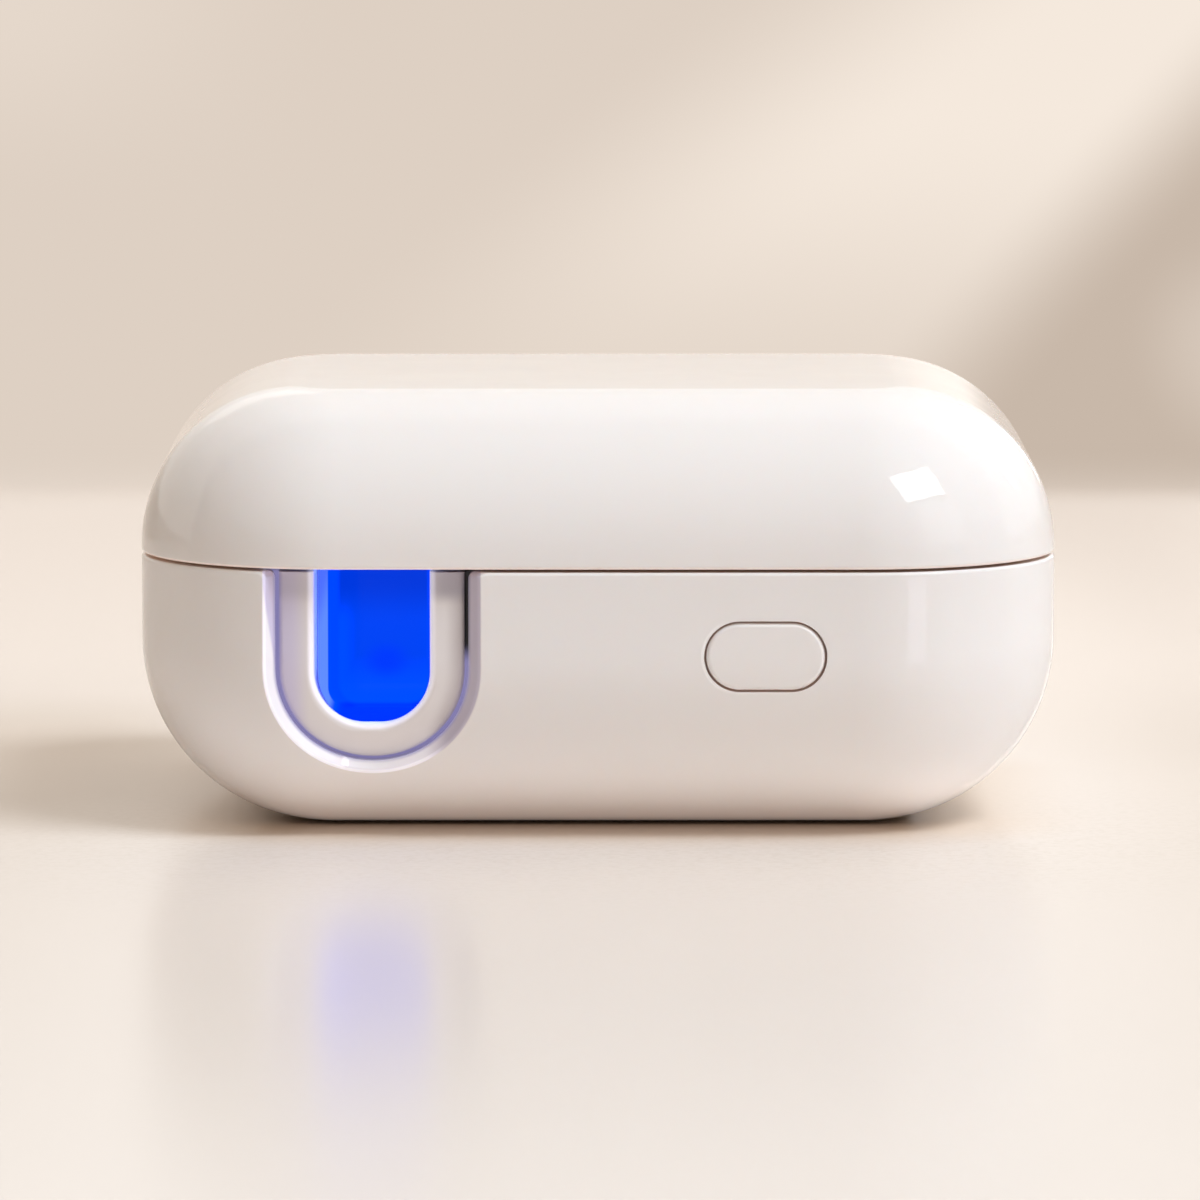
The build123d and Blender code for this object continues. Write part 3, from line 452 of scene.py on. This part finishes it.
# Satin tray plastic with a spark-eroded grain
trayFinish = {
    "colour": (0.560, 0.550, 0.560),
    "paleColour": (0.640, 0.628, 0.632),
    "cloudScale": 60.0,
    "roughness": 0.46,
    "grainScale": 2600.0,
    "grainHeight": 0.000012,
}


def makeTray(name):
    skin = Finish(name)
    grain = skin.noise(trayFinish["grainScale"], 3.0, 0.6)
    cloud = skin.noise(trayFinish["cloudScale"], 3.0)
    return skin.done(skin.plastic({
        "Base Color": skin.mix(trayFinish["colour"], trayFinish["paleColour"], 0.6 * cloud + 0.4 * grain),
        "Roughness": trayFinish["roughness"] + 0.12 * grain,
        "Normal": skin.bump(grain, trayFinish["grainHeight"]),
    }))


dress("cavity_tray", makeTray("trayGrained"))
dress("lid_liner", makeTray("linerGrained"))

# Metals: the streak squeezes the grain along each axis, and three ones leave it round
metals = {
    "pinSteel": {
        "parts": ("hinge_pin",),
        "colour": (0.66, 0.65, 0.63),
        "darkColour": (0.52, 0.51, 0.50),
        "roughness": 0.22,
        "streak": (40.0, 1.0, 1.0),
        "streakScale": 900.0,
    },
    "screwSteel": {
        "parts": ("tray_screws", "lid_screws", "board_screws"),
        "colour": (0.62, 0.60, 0.57),
        "darkColour": (0.42, 0.41, 0.40),
        "roughness": 0.24,
        "streak": (1.0, 1.0, 6.0),
        "streakScale": 1800.0,
    },
    "magnetNickel": {
        "parts": ("base_magnets", "lid_magnets"),
        "colour": (0.70, 0.68, 0.63),
        "darkColour": (0.58, 0.56, 0.52),
        "roughness": 0.18,
        "streak": (1.0, 1.0, 1.0),
        "streakScale": 1200.0,
    },
    "socketSteel": {
        "parts": ("usb_socket",),
        "colour": (0.64, 0.64, 0.65),
        "darkColour": (0.50, 0.50, 0.51),
        "roughness": 0.25,
        "streak": (1.0, 12.0, 1.0),
        "streakScale": 1100.0,
    },
    "pinGold": {
        "parts": ("header_pins",),
        "colour": (0.86, 0.66, 0.30),
        "darkColour": (0.72, 0.52, 0.22),
        "roughness": 0.2,
        "streak": (1.0, 1.0, 1.0),
        "streakScale": 1500.0,
    },
}


def makeMetal(name, look):
    skin = Finish(name)
    stretched = skin.node("ShaderNodeMapping", None, {"Vector": skin.place, "Scale": look["streak"]})
    lines = skin.noise(look["streakScale"], 4.0, 0.7, stretched)
    stain = skin.noise(400.0, 3.0)
    return skin.done(skin.plastic({
        "Base Color": skin.mix(look["darkColour"], look["colour"], 0.35 + 0.65 * stain),
        "Metallic": 1.0 - 0.08 * stain,
        "Roughness": look["roughness"] + 0.16 * lines,
        "Normal": skin.bump(lines, 0.000002),
    }))


# Plain mouldings inside, and the foam pad under the cell
mouldings = {
    "blackMoulding": {
        "parts": ("board_chips", "lamp_header", "tact_switch", "lid_sensor"),
        "colour": (0.018, 0.018, 0.020),
        "otherColour": (0.034, 0.034, 0.037),
        "roughness": 0.42,
        "grainScale": 2400.0,
        "grainHeight": 0.000006,
    },
    "ivoryMoulding": {
        "parts": ("battery_plug", "plug_socket"),
        "colour": (0.74, 0.68, 0.55),
        "otherColour": (0.80, 0.75, 0.63),
        "roughness": 0.4,
        "grainScale": 1800.0,
        "grainHeight": 0.000004,
    },
    "plungerBrown": {
        "parts": ("switch_plunger",),
        "colour": (0.20, 0.10, 0.05),
        "otherColour": (0.27, 0.14, 0.07),
        "roughness": 0.36,
        "grainScale": 1500.0,
        "grainHeight": 0.000003,
    },
    "tapeFoam": {
        "parts": ("battery_tape",),
        "colour": (0.62, 0.60, 0.56),
        "otherColour": (0.72, 0.70, 0.66),
        "roughness": 0.8,
        "grainScale": 1500.0,
        "grainHeight": 0.00003,
    },
}


def makeMoulding(name, look):
    skin = Finish(name)
    grain = skin.noise(look["grainScale"], 3.0, 0.6)
    cloud = skin.noise(150.0, 2.0)
    return skin.done(skin.plastic({
        "Base Color": skin.mix(look["colour"], look["otherColour"], 0.5 * grain + 0.5 * cloud),
        "Roughness": look["roughness"] + 0.12 * grain,
        "Normal": skin.bump(grain, look["grainHeight"]),
    }))


def dressRows(rows, make):
    for name, look in rows.items():
        material = make(name, look)
        for part in look["parts"]:
            dress(part, material)


dressRows(metals, makeMetal)
dressRows(mouldings, makeMoulding)
print("tray, metals and mouldings finished")

# Circuit boards: solder mask with paler tracks and plated holes
boards = {
    "trackScale": 260.0,
    "trackEdge": (0.05, 0.08),
    "holeScale": 380.0,
    "holeSpread": 0.4,
    "holeEdge": (0.10, 0.13),
    "main": {"mask": (0.010, 0.090, 0.040), "pale": (0.020, 0.150, 0.065), "copper": (0.80, 0.60, 0.28)},
    "lamp": {"mask": (0.76, 0.76, 0.75), "pale": (0.66, 0.66, 0.65), "copper": (0.80, 0.66, 0.36)},
}


def makeBoard(name, look):
    skin = Finish(name)
    track = skin.fall(skin.cells(boards["trackScale"], "DISTANCE_TO_EDGE"), *boards["trackEdge"])
    hole = skin.fall(skin.cells(boards["holeScale"], "F1", boards["holeSpread"]), *boards["holeEdge"])
    colour = skin.mix(look["mask"], look["pale"], track)
    return skin.done(skin.plastic({
        "Base Color": skin.mix(colour, look["copper"], hole),
        "Metallic": hole * 0.9,
        "Roughness": 0.34 + 0.1 * skin.noise(900.0),
        "Normal": skin.bump(track + hole, 0.00001),
    }))


dress("main_board", makeBoard("boardGreen", boards["main"]))
dress("lamp_board", makeBoard("lampBoardWhite", boards["lamp"]))

# Battery leads, black and red, and the pouch cell's creased foil
battery = {
    "splitX": (0.01195, 0.01210),
    "black": (0.020, 0.020, 0.022),
    "red": (0.520, 0.020, 0.018),
    "worn": (0.10, 0.10, 0.10),
    "foil": (0.50, 0.51, 0.53),
    "foilPale": (0.66, 0.67, 0.69),
    "creaseScale": 70.0,
    "creaseHeight": 0.00012,
    "weaveScale": 1400.0,
}


def makeLeads():
    skin = Finish("leadPair")
    colour = skin.mix(battery["black"], battery["red"], skin.ramp(skin.x, *battery["splitX"]))
    sheen = skin.noise(900.0, 2.0)
    return skin.done(skin.plastic({
        "Base Color": skin.mix(colour, battery["worn"], 0.12 * sheen),
        "Roughness": 0.38 + 0.1 * sheen,
        "Normal": skin.bump(sheen, 0.000004),
    }))


def makeFoil():
    skin = Finish("pouchFoil")
    crease = skin.noise(battery["creaseScale"], 5.0, 0.65)
    weave = skin.noise(battery["weaveScale"], 2.0)
    return skin.done(skin.plastic({
        "Base Color": skin.mix(battery["foil"], battery["foilPale"], crease),
        "Metallic": 0.85 - 0.1 * weave,
        "Roughness": 0.3 + 0.12 * weave,
        "Normal": skin.bump(crease + 0.05 * weave, battery["creaseHeight"]),
    }))


dress("battery_leads", makeLeads())
dress("battery_cell", makeFoil())

# Lamp: clear window, and ceramic packages with a bright die in a gilt well
lamp = {
    "middleY": -0.00635,
    "middleZ": 0.0124,
    "pitch": 0.0044,
    "dieHalf": 0.0006,
    "dieSoft": 0.00005,
    "wellHalf": 0.0012,
    "wellEnd": 0.00132,
    "ceramic": (0.74, 0.73, 0.70),
    "wellColour": (0.60, 0.50, 0.28),
    "dieSurface": (0.3, 0.3, 0.5),
    "dieColour": (0.25, 0.30, 1.0),
    "power": 4.0,
    "windowColour": (0.90, 0.94, 1.0),
    "windowHaze": (0.96, 0.98, 1.0),
}


def makeWindow():
    skin = Finish("windowClear")
    haze = skin.noise(300.0, 3.0)
    return skin.done(skin.plastic({
        "Base Color": skin.mix(lamp["windowColour"], lamp["windowHaze"], haze),
        "Roughness": 0.02 + 0.04 * haze,
        "Transmission Weight": 0.95,
        "IOR": 1.46,
    }))


def makeLamps():
    skin = Finish("lampCeramic")
    row = skin.wave(skin.y - (lamp["middleY"] - 10.0 * lamp["pitch"]), lamp["pitch"] / 2)
    away = skin.larger(row, abs(skin.z - lamp["middleZ"]))
    die = 1.0 - skin.step(away, lamp["dieHalf"], lamp["dieSoft"])
    well = skin.fall(away, lamp["wellHalf"], lamp["wellEnd"])
    colour = skin.mix(lamp["ceramic"], lamp["wellColour"], well)
    return skin.done(skin.plastic({
        "Base Color": skin.mix(colour, lamp["dieSurface"], die),
        "Roughness": 0.35 + 0.1 * skin.noise(1500.0),
        "Emission Color": skin.glow(lamp["dieColour"], die),
        "Emission Strength": lamp["power"],
        "Normal": skin.bump(well, 0.00005),
    }))


dress("lamp_window", makeWindow())
dress("lamp_leds", makeLamps())

# The charging socket's tongue with its gilt contacts
tongue = {
    "middleX": 0.0117,
    "halfX": (0.0029, 0.00295),
    "startY": (0.0193, 0.0194),
    "halfPitch": 0.00025,
    "halfContact": (0.00010, 0.00013),
    "colour": (0.020, 0.020, 0.022),
    "gilt": (0.80, 0.60, 0.28),
}


def makeTongue():
    skin = Finish("tongueContacts")
    strip = skin.fall(skin.wave(skin.x + 1.0, tongue["halfPitch"]), *tongue["halfContact"])
    strip = strip * skin.ramp(skin.y, *tongue["startY"])
    strip = strip * skin.fall(abs(skin.x - tongue["middleX"]), *tongue["halfX"])
    return skin.done(skin.plastic({
        "Base Color": skin.mix(tongue["colour"], tongue["gilt"], strip),
        "Metallic": strip * 0.95,
        "Roughness": 0.4 - 0.2 * strip,
        "Normal": skin.bump(strip, 0.00001),
    }))


dress("usb_tongue", makeTongue())
print("inside parts finished")


# Small pieces that the solids leave out, modelled here
def roundEdges(mesh, edges, offset, segments):
    bmesh.ops.bevel(
        mesh, geom=edges, offset=offset, offset_type="OFFSET", segments=segments, profile=0.5,
        affect="EDGES", material=-1,
    )


def flatRing(mesh, middle, innerHalf, width, corner, z):  # a rounded rectangle with a hole, one face wide
    bmesh.ops.create_grid(mesh, x_segments=1, y_segments=1, size=1.0)
    halves = (innerHalf[0] + width, innerHalf[1] + width, 1.0)
    bmesh.ops.scale(mesh, verts=mesh.verts, vec=halves)
    bmesh.ops.translate(mesh, verts=mesh.verts, vec=(middle[0], middle[1], z))
    bmesh.ops.bevel(
        mesh, geom=list(mesh.verts), offset=corner + width, offset_type="OFFSET", segments=12, profile=0.5,
        affect="VERTICES", material=-1,
    )
    inner = list(mesh.faces)
    bmesh.ops.inset_region(mesh, faces=inner, thickness=width, use_boundary=True, use_even_offset=True)
    bmesh.ops.delete(mesh, geom=inner, context="FACES_ONLY")


def sharpEdges(mesh, z, least):  # edges at height z that turn by more than least, in radians
    level = [edge for edge in mesh.edges if all(abs(vert.co.z - z) < 0.00001 for vert in edge.verts)]
    return [edge for edge in level if len(edge.link_faces) == 2 and edge.calc_face_angle(0.0) > least]


def newPiece(name, mesh, materials, body):
    bmesh.ops.recalc_face_normals(mesh, faces=mesh.faces)
    for face in mesh.faces:
        face.smooth = True
    for edge in mesh.edges:  # an open edge counts as sharp
        edge.smooth = edge.calc_face_angle(3.0) < math.radians(40.0)
    data = bpy.data.meshes.new(name)
    mesh.to_mesh(data)
    mesh.free()
    for material in materials:
        data.materials.append(material)
    piece = bpy.data.objects.new(name, data)
    bpy.context.scene.collection.objects.link(piece)
    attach(piece, body)


# Soft seal round the upper pan
seal = {
    "middle": (-0.01325, -0.00635),
    "innerHalf": (0.00750, 0.01245),
    "width": 0.0013,
    "corner": 0.0035,
    "z": 0.0195,
    "height": 0.00042,
    "round": 0.00018,
    "silicone": {
        "colour": (0.70, 0.69, 0.68),
        "otherColour": (0.76, 0.75, 0.74),
        "roughness": 0.5,
        "grainScale": 1600.0,
        "grainHeight": 0.000003,
    },
}


def makeSeal():
    ring = bmesh.new()
    flatRing(ring, seal["middle"], seal["innerHalf"], seal["width"], seal["corner"], seal["z"])
    made = bmesh.ops.extrude_face_region(ring, geom=list(ring.faces))
    lowered = [item for item in made["geom"] if isinstance(item, bmesh.types.BMVert)]
    bmesh.ops.translate(ring, verts=lowered, vec=(0.0, 0.0, -seal["height"]))
    rims = sharpEdges(ring, seal["z"] - seal["height"], 1.0)
    roundEdges(ring, rims, seal["round"], 4)
    silicone = makeMoulding("sealSilicone", seal["silicone"])
    newPiece("cavitySeal", ring, [silicone], "lid")


makeSeal()

# Soft bumpers that the lid closes on
bumpers = {
    "places": ((-0.0262, 0.0145), (0.0240, 0.0145), (-0.0262, -0.0150), (0.0262, -0.0150)),
    "radius": 0.0012,
    "taper": 0.86,
    "z": 0.0189,
    "height": 0.00045,
    "round": 0.00024,
    "silicone": {
        "colour": (0.52, 0.52, 0.53),
        "otherColour": (0.60, 0.60, 0.61),
        "roughness": 0.55,
        "grainScale": 1600.0,
        "grainHeight": 0.000003,
    },
}


def makeBumpers():
    dots = bmesh.new()
    radius, height = bumpers["radius"], bumpers["height"]
    for x, y in bumpers["places"]:
        made = bmesh.ops.create_cone(
            dots, cap_ends=True, segments=40, radius1=radius, radius2=radius * bumpers["taper"],
            depth=height,
        )
        bmesh.ops.translate(dots, verts=made["verts"], vec=(x, y, bumpers["z"] + height / 2))
    rims = sharpEdges(dots, bumpers["z"] + height, 0.6)
    roundEdges(dots, rims, bumpers["round"], 5)
    silicone = makeMoulding("bumperSilicone", bumpers["silicone"])
    newPiece("deckBumpers", dots, [silicone], "base")


makeBumpers()

# Chip legs and small board parts: a ceramic body with a tinned cap at each end
boardDetail = {
    "boardZ": 0.0114,
    "chips": ((0.0075, -0.0042), (0.0165, -0.0042), (0.0075, 0.0048), (0.0165, 0.0048)),
    "chipHalf": 0.0025,
    "legs": 5,
    "legPitch": 0.0008,
    "legOut": 0.00025,
    "legZ": 0.00012,
    "legSize": (0.0003, 0.0007, 0.0002),
    "legRound": 0.00004,
    "blocks": (
        (0.0030, -0.0110), (0.0030, -0.0080), (0.0205, -0.0100), (0.0205, -0.0070), (0.0120, -0.0115),
        (0.0030, 0.0110), (0.0030, 0.0140), (0.0205, 0.0110), (0.0205, 0.0140), (0.0120, 0.0120),
    ),
    "blockSize": (0.0016, 0.0009, 0.0007),
    "blockRound": 0.00006,
    "bodyShare": 0.62,
    "capShare": 0.2,
    "capPlace": 0.40,
    "capGrowth": 1.04,
    "ceramic": {
        "colour": (0.36, 0.25, 0.16),
        "otherColour": (0.44, 0.32, 0.21),
        "roughness": 0.35,
        "grainScale": 1800.0,
        "grainHeight": 0.000003,
    },
    "tin": {
        "colour": (0.70, 0.70, 0.69),
        "darkColour": (0.55, 0.55, 0.54),
        "roughness": 0.28,
        "streak": (1.0, 1.0, 1.0),
        "streakScale": 1500.0,
    },
}


def addBlock(mesh, middle, size, corner, index):
    made = bmesh.ops.create_cube(mesh, size=1.0)
    bmesh.ops.scale(mesh, verts=made["verts"], vec=size)
    bmesh.ops.translate(mesh, verts=made["verts"], vec=middle)
    faces = {face for vert in made["verts"] for face in vert.link_faces}
    for face in faces:
        face.material_index = index
    edges = list({edge for vert in made["verts"] for edge in vert.link_edges})
    roundEdges(mesh, edges, corner, 2)


def addLegs(parts, x, y):  # a row on each of the chip's four sides
    width, length, height = boardDetail["legSize"]
    corner = boardDetail["legRound"]
    z = boardDetail["boardZ"] + boardDetail["legZ"]
    for step in range(boardDetail["legs"]):
        along = (step - (boardDetail["legs"] - 1) / 2) * boardDetail["legPitch"]
        for side in (-1, 1):
            reach = side * (boardDetail["chipHalf"] + boardDetail["legOut"])
            addBlock(parts, (x + along, y + reach, z), (width, length, height), corner, 1)
            addBlock(parts, (x + reach, y + along, z), (length, width, height), corner, 1)


def addComponent(parts, x, y):
    length, width, height = boardDetail["blockSize"]
    corner = boardDetail["blockRound"]
    growth = boardDetail["capGrowth"]
    z = boardDetail["boardZ"] + height / 2
    addBlock(parts, (x, y, z), (length * boardDetail["bodyShare"], width, height), corner, 0)
    for side in (-1, 1):
        end = (x + side * length * boardDetail["capPlace"], y, z)
        addBlock(parts, end, (length * boardDetail["capShare"], width * growth, height * growth), corner, 1)


def makeBoardParts():
    parts = bmesh.new()
    for x, y in boardDetail["chips"]:
        addLegs(parts, x, y)
    for x, y in boardDetail["blocks"]:
        addComponent(parts, x, y)
    ceramic = makeMoulding("partCeramic", boardDetail["ceramic"])
    tin = makeMetal("partTin", boardDetail["tin"])
    newPiece("boardParts", parts, [ceramic, tin], "base")


makeBoardParts()
print("small pieces made")

# Stage: a pale stone floor that folds up into a plain backdrop, seen through from behind
stage = {
    "halfWidth": 3.0,
    "frontY": -4.0,
    "backY": 0.262,
    "height": 0.75,
    "fold": 0.035,
    "upright": (0.206, 0.241),
}

# The floor: a painted warm shadow under the case, painted shade beside it, with fine specks and pores close
# to it
floor = {
    "near": (0.700, 0.648, 0.600),
    "far": (0.860, 0.800, 0.740),
    "farY": (-0.15, 0.13),
    "pale": (0.840, 0.785, 0.730),
    "paleScale": 14.0,
    "paleShare": 0.15,
    "closeY": -0.026,
    "closeReach": 0.060,
    "grain": (0.640, 0.570, 0.500),
    "grainScale": 420.0,
    "fineScale": 1500.0,
    "grainLimit": (0.62, 1.0),
    "grainShare": 0.4,
    "pore": (0.420, 0.340, 0.270),
    "poreScale": 1300.0,
    "poreSize": (0.10, 0.24),
    "poreRare": (0.56, 0.64),
    "poreRareScale": 500.0,
    "poreShare": 0.16,
    # Painted shade at the sides in front, a painted shadow to the left of the case, and a painted warm
    # shadow under it
    "side": (0.640, 0.570, 0.500),
    "sideX": (0.026, 0.048),
    "sideY": (0.02, 0.09),
    "sideShare": 0.6,
    "shade": (0.600, 0.510, 0.420),
    "shadeX": (-0.040, -0.026),
    "shadeY": (-0.014, 0.048),
    "shadeSoft": 0.016,
    "shadeShare": 0.7,
    "warm": (0.700, 0.560, 0.430),
    "contactShadowY": -0.0009,
    "contactShadowHalf": (0.0193, 0.0128),
    "contactShadowReach": (0.004, 0.017),
    "roughness": 0.22,
}

# The wall, painted with light and shade: a slanting beam of light, a dark right side in painted shadow, and
# softer light above and to the left
wall = {
    "colour": (0.730, 0.631, 0.546),
    "pale": (0.913, 0.815, 0.723),
    "beamSlope": 1.263,
    "beamX": (-0.050, -0.010),
    "beamZ": (0.005, 0.036),
    "cornerX": (-0.062, -0.025),
    "cornerZ": (0.025, 0.047),
    "cornerShare": 0.3,
    "dark": (0.578, 0.479, 0.397),
    "darkSlope": 0.957,
    "darkX": (0.017, 0.037),
    "spot": (0.065, 0.012),
    "spotReach": (0.002, 0.012),
    "spotShare": 0.6,
    "left": (0.350, 0.285, 0.230),
    "leftX": (-0.26, -0.070),
    "high": (0.900, 0.850, 0.790),
    "highZ": (0.049, 0.070),
    "shine": 0.15,
}


def makeFloorShader(paper):
    x, y = paper.x, paper.y
    near = paper.fall(abs(y - floor["closeY"]), 0.0, floor["closeReach"]) ** 2.0
    grain = paper.noise(floor["grainScale"], 4.0, 0.6)
    fine = paper.noise(floor["fineScale"], 3.0, 0.6)
    pores = paper.fall(paper.cells(floor["poreScale"]), *floor["poreSize"])
    pores = pores * paper.ramp(paper.noise(floor["poreRareScale"], 2.0), *floor["poreRare"])
    speckle = near * paper.ramp(fine + 0.5 * grain, *floor["grainLimit"])
    # Painted shade at the sides, a painted shadow to the left of the case, and a painted warm contact
    # shadow under it
    side = paper.ramp(abs(x), *floor["sideX"]) * paper.fall(y, *floor["sideY"])
    leftShade = paper.fall(x, *floor["shadeX"]) * paper.band(y, *floor["shadeY"], floor["shadeSoft"])
    awayX = paper.larger(abs(x) - floor["contactShadowHalf"][0], 0.0)
    awayY = paper.larger(abs(y - floor["contactShadowY"]) - floor["contactShadowHalf"][1], 0.0)
    warm = paper.fall(paper.distance(awayX, awayY), *floor["contactShadowReach"])
    colour = paper.mix(floor["near"], floor["far"], paper.ramp(y, *floor["farY"]))
    colour = paper.mix(colour, floor["pale"], paper.noise(floor["paleScale"], 3.0) * floor["paleShare"])
    colour = paper.mix(colour, floor["grain"], speckle * floor["grainShare"])
    colour = paper.mix(colour, floor["pore"], near * pores * floor["poreShare"])
    colour = paper.mix(colour, floor["side"], side * floor["sideShare"])
    colour = paper.mix(colour, floor["shade"], leftShade * floor["shadeShare"])
    return paper.plastic({
        "Base Color": paper.mix(colour, floor["warm"], warm),
        "Roughness": floor["roughness"] + 0.03 * near * grain,
        "Normal": paper.bump(near * (grain + 0.4 * fine), 0.0000006),
    })


def makeWallShader(paper):  # gives its own light to the camera and the gloss, and is matt to the rest
    x, z = paper.x, paper.z
    # Painted light and shade: the beam, a lighter upper left, painted shadow on the right side, a darker
    # spot, painted shade far to the left, and lighter above
    beam = paper.ramp(x - wall["beamSlope"] * z, *wall["beamX"])
    beam = beam * (0.25 + 0.75 * paper.ramp(z, *wall["beamZ"]))
    corner = paper.fall(x, *wall["cornerX"]) * paper.ramp(z, *wall["cornerZ"])
    spotX, spotZ = wall["spot"]
    spot = paper.fall(paper.distance(x - spotX, z - spotZ), *wall["spotReach"])
    colour = paper.mix(wall["colour"], wall["pale"], beam)
    colour = paper.mix(colour, wall["pale"], corner * wall["cornerShare"])
    colour = paper.mix(colour, wall["dark"], paper.ramp(x - wall["darkSlope"] * z, *wall["darkX"]))
    colour = paper.mix(colour, wall["colour"], spot * wall["spotShare"])
    colour = paper.mix(colour, wall["left"], paper.fall(x, *wall["leftX"]))
    colour = paper.mix(colour, wall["high"], paper.ramp(z, *wall["highZ"]))
    rays = ("Is Camera Ray", "Is Glossy Ray", "Is Transmission Ray")
    camera, glossy, through = paper.node("ShaderNodeLightPath", None, None, rays)
    shine = 1.0 + wall["shine"] * glossy
    light = paper.node("ShaderNodeEmission", None, {"Color": colour, "Strength": shine})
    matt = paper.node("ShaderNodeBsdfDiffuse", None, {"Color": wall["colour"]})
    seen = paper.larger(camera, paper.larger(glossy, through))
    return paper.node("ShaderNodeMixShader", None, {0: seen, 1: matt, 2: light})


def makeStageFinish():
    paper = Finish("stagePaper")
    upright = paper.ramp(paper.y, *stage["upright"])
    sides = {0: upright, 1: makeFloorShader(paper), 2: makeWallShader(paper)}
    whole = paper.node("ShaderNodeMixShader", None, sides)
    behind = paper.node("ShaderNodeNewGeometry", output="Backfacing")
    clear = paper.node("ShaderNodeBsdfTransparent")
    return paper.done(paper.node("ShaderNodeMixShader", None, {0: behind, 1: whole, 2: clear}))


def makeStage():
    sheet = bmesh.new()
    bmesh.ops.create_grid(sheet, x_segments=1, y_segments=1, size=1.0)
    middle = (stage["frontY"] + stage["backY"]) / 2
    half = (stage["backY"] - stage["frontY"]) / 2
    bmesh.ops.scale(sheet, verts=sheet.verts, vec=(stage["halfWidth"], half, 1.0))
    bmesh.ops.translate(sheet, verts=sheet.verts, vec=(0.0, middle, 0.0))
    back = [edge for edge in sheet.edges if all(vert.co.y > stage["backY"] - 0.001 for vert in edge.verts)]
    made = bmesh.ops.extrude_edge_only(sheet, edges=back)
    raised = [item for item in made["geom"] if isinstance(item, bmesh.types.BMVert)]
    bmesh.ops.translate(sheet, verts=raised, vec=(0.0, 0.0, stage["height"]))
    fold = [edge for edge in sheet.edges if len(edge.link_faces) == 2]
    roundEdges(sheet, fold, stage["fold"], 24)
    for face in sheet.faces:
        face.smooth = True
    mesh = bpy.data.meshes.new("stageSheet")
    sheet.normal_update()
    sheet.to_mesh(mesh)
    sheet.free()
    mesh.materials.append(makeStageFinish())
    sheetObject = bpy.data.objects.new("stageSheet", mesh)
    bpy.context.scene.collection.objects.link(sheetObject)
    print("stage made")


makeStage()

# Lights: a window from the right, panes and strips that show only in the gloss, and the floor's bounce
lightTarget = Vector((0.0, 0.0, 0.018))
lights = {
    "key": {
        "place": (0.90, -0.13, 0.72),
        "size": (0.24, 0.24),
        "power": 0.9,
        "colour": (0.62, 0.88, 1.0),
        "shows": "shade",
    },
    "window": {
        "place": (0.502, -0.337, 0.845),
        "size": (0.40, 0.29),
        "power": 8.5,
        "colour": (0.83, 0.90, 1.0),
        "shows": "shade",
    },
    "windowGloss": {
        "place": (0.501, -0.471, 0.744),
        "size": (0.405, 0.34),
        "power": 2.6,
        "colour": (1.0, 0.99, 0.98),
        "shows": "gloss",
    },
    "lowerPaneGloss": {
        "place": (0.74, -0.578, 0.345),
        "size": (0.44, 0.46),
        "power": 0.5,
        "colour": (1.0, 0.98, 1.0),
        "shows": "gloss",
    },
    "rightSlitGloss": {
        "place": (0.0465, -0.0634, 0.0085),
        "size": (0.010, 0.0105),
        "power": 0.0005,
        "colour": (0.85, 0.82, 1.0),
        "shows": "gloss",
    },
    "backStripGloss": {
        "place": (0.102, 0.225, 0.11),
        "size": (0.022, 0.17),
        "power": 0.03,
        "colour": (1.0, 0.98, 0.96),
        "shows": "gloss",
    },
    "sideStripGloss": {
        "place": (0.285, 0.152, 0.236),
        "size": (0.035, 0.22),
        "power": 0.09,
        "colour": (1.0, 0.98, 0.96),
        "shows": "gloss",
    },
    "leftBackGloss": {
        "place": (-0.065, 0.165, 0.100),
        "size": (0.07, 0.035),
        "power": 0.003,
        "colour": (1.0, 0.98, 0.96),
        "shows": "gloss",
    },
    "frontBounce": {
        "place": (0.004, -0.0458, 0.0002),
        "size": (0.142, 0.0585),
        "power": 0.0060,
        "colour": (1.0, 0.89, 0.87),
        "shows": "upward",
    },
    "rightBounce": {
        "place": (0.0535, -0.004, 0.0002),
        "size": (0.062, 0.05),
        "power": 0.0024,
        "colour": (0.74, 0.84, 1.0),
        "shows": "upward",
    },
}


def makeLights():
    for name, row in lights.items():
        panel = bpy.data.lights.new(name, "AREA")
        panel.shape = "RECTANGLE"
        panel.size, panel.size_y = row["size"]
        panel.energy = row["power"]
        panel.color = row["colour"]
        lightObject = bpy.data.objects.new(name, panel)
        lightObject.location = row["place"]
        if row["shows"] == "upward":
            lightObject.rotation_euler = (math.pi, 0.0, 0.0)
        else:
            aim = lightTarget - Vector(row["place"])
            lightObject.rotation_euler = aim.to_track_quat("-Z", "Y").to_euler()
        lightObject.visible_glossy = row["shows"] == "gloss"
        lightObject.visible_diffuse = row["shows"] != "gloss"
        lightObject.visible_camera = False
        bpy.context.scene.collection.objects.link(lightObject)
    print("lights placed")


makeLights()

# Room light: soft warm white, brighter from above
room = {
    "low": (0.375, 0.325, 0.312),
    "high": (0.640, 0.560, 0.460),
    "rise": (0.1, 0.9),
}


def makeRoom():
    world = bpy.data.worlds.new("room")
    world.use_nodes = True
    bpy.context.scene.world = world
    sky = Finish("room", world.node_tree)
    direction = sky.node("ShaderNodeTexCoord", output="Generated")
    height = sky.node("ShaderNodeSeparateXYZ", None, {0: direction}, 2)
    colour = sky.mix(room["low"], room["high"], sky.ramp(height, *room["rise"]))
    back = sky.node("ShaderNodeBackground", None, {"Color": colour, "Strength": 1.0})
    sky.node("ShaderNodeOutputWorld", None, {"Surface": back}, ())


makeRoom()
bpy.context.scene.view_settings.view_transform = "Standard"
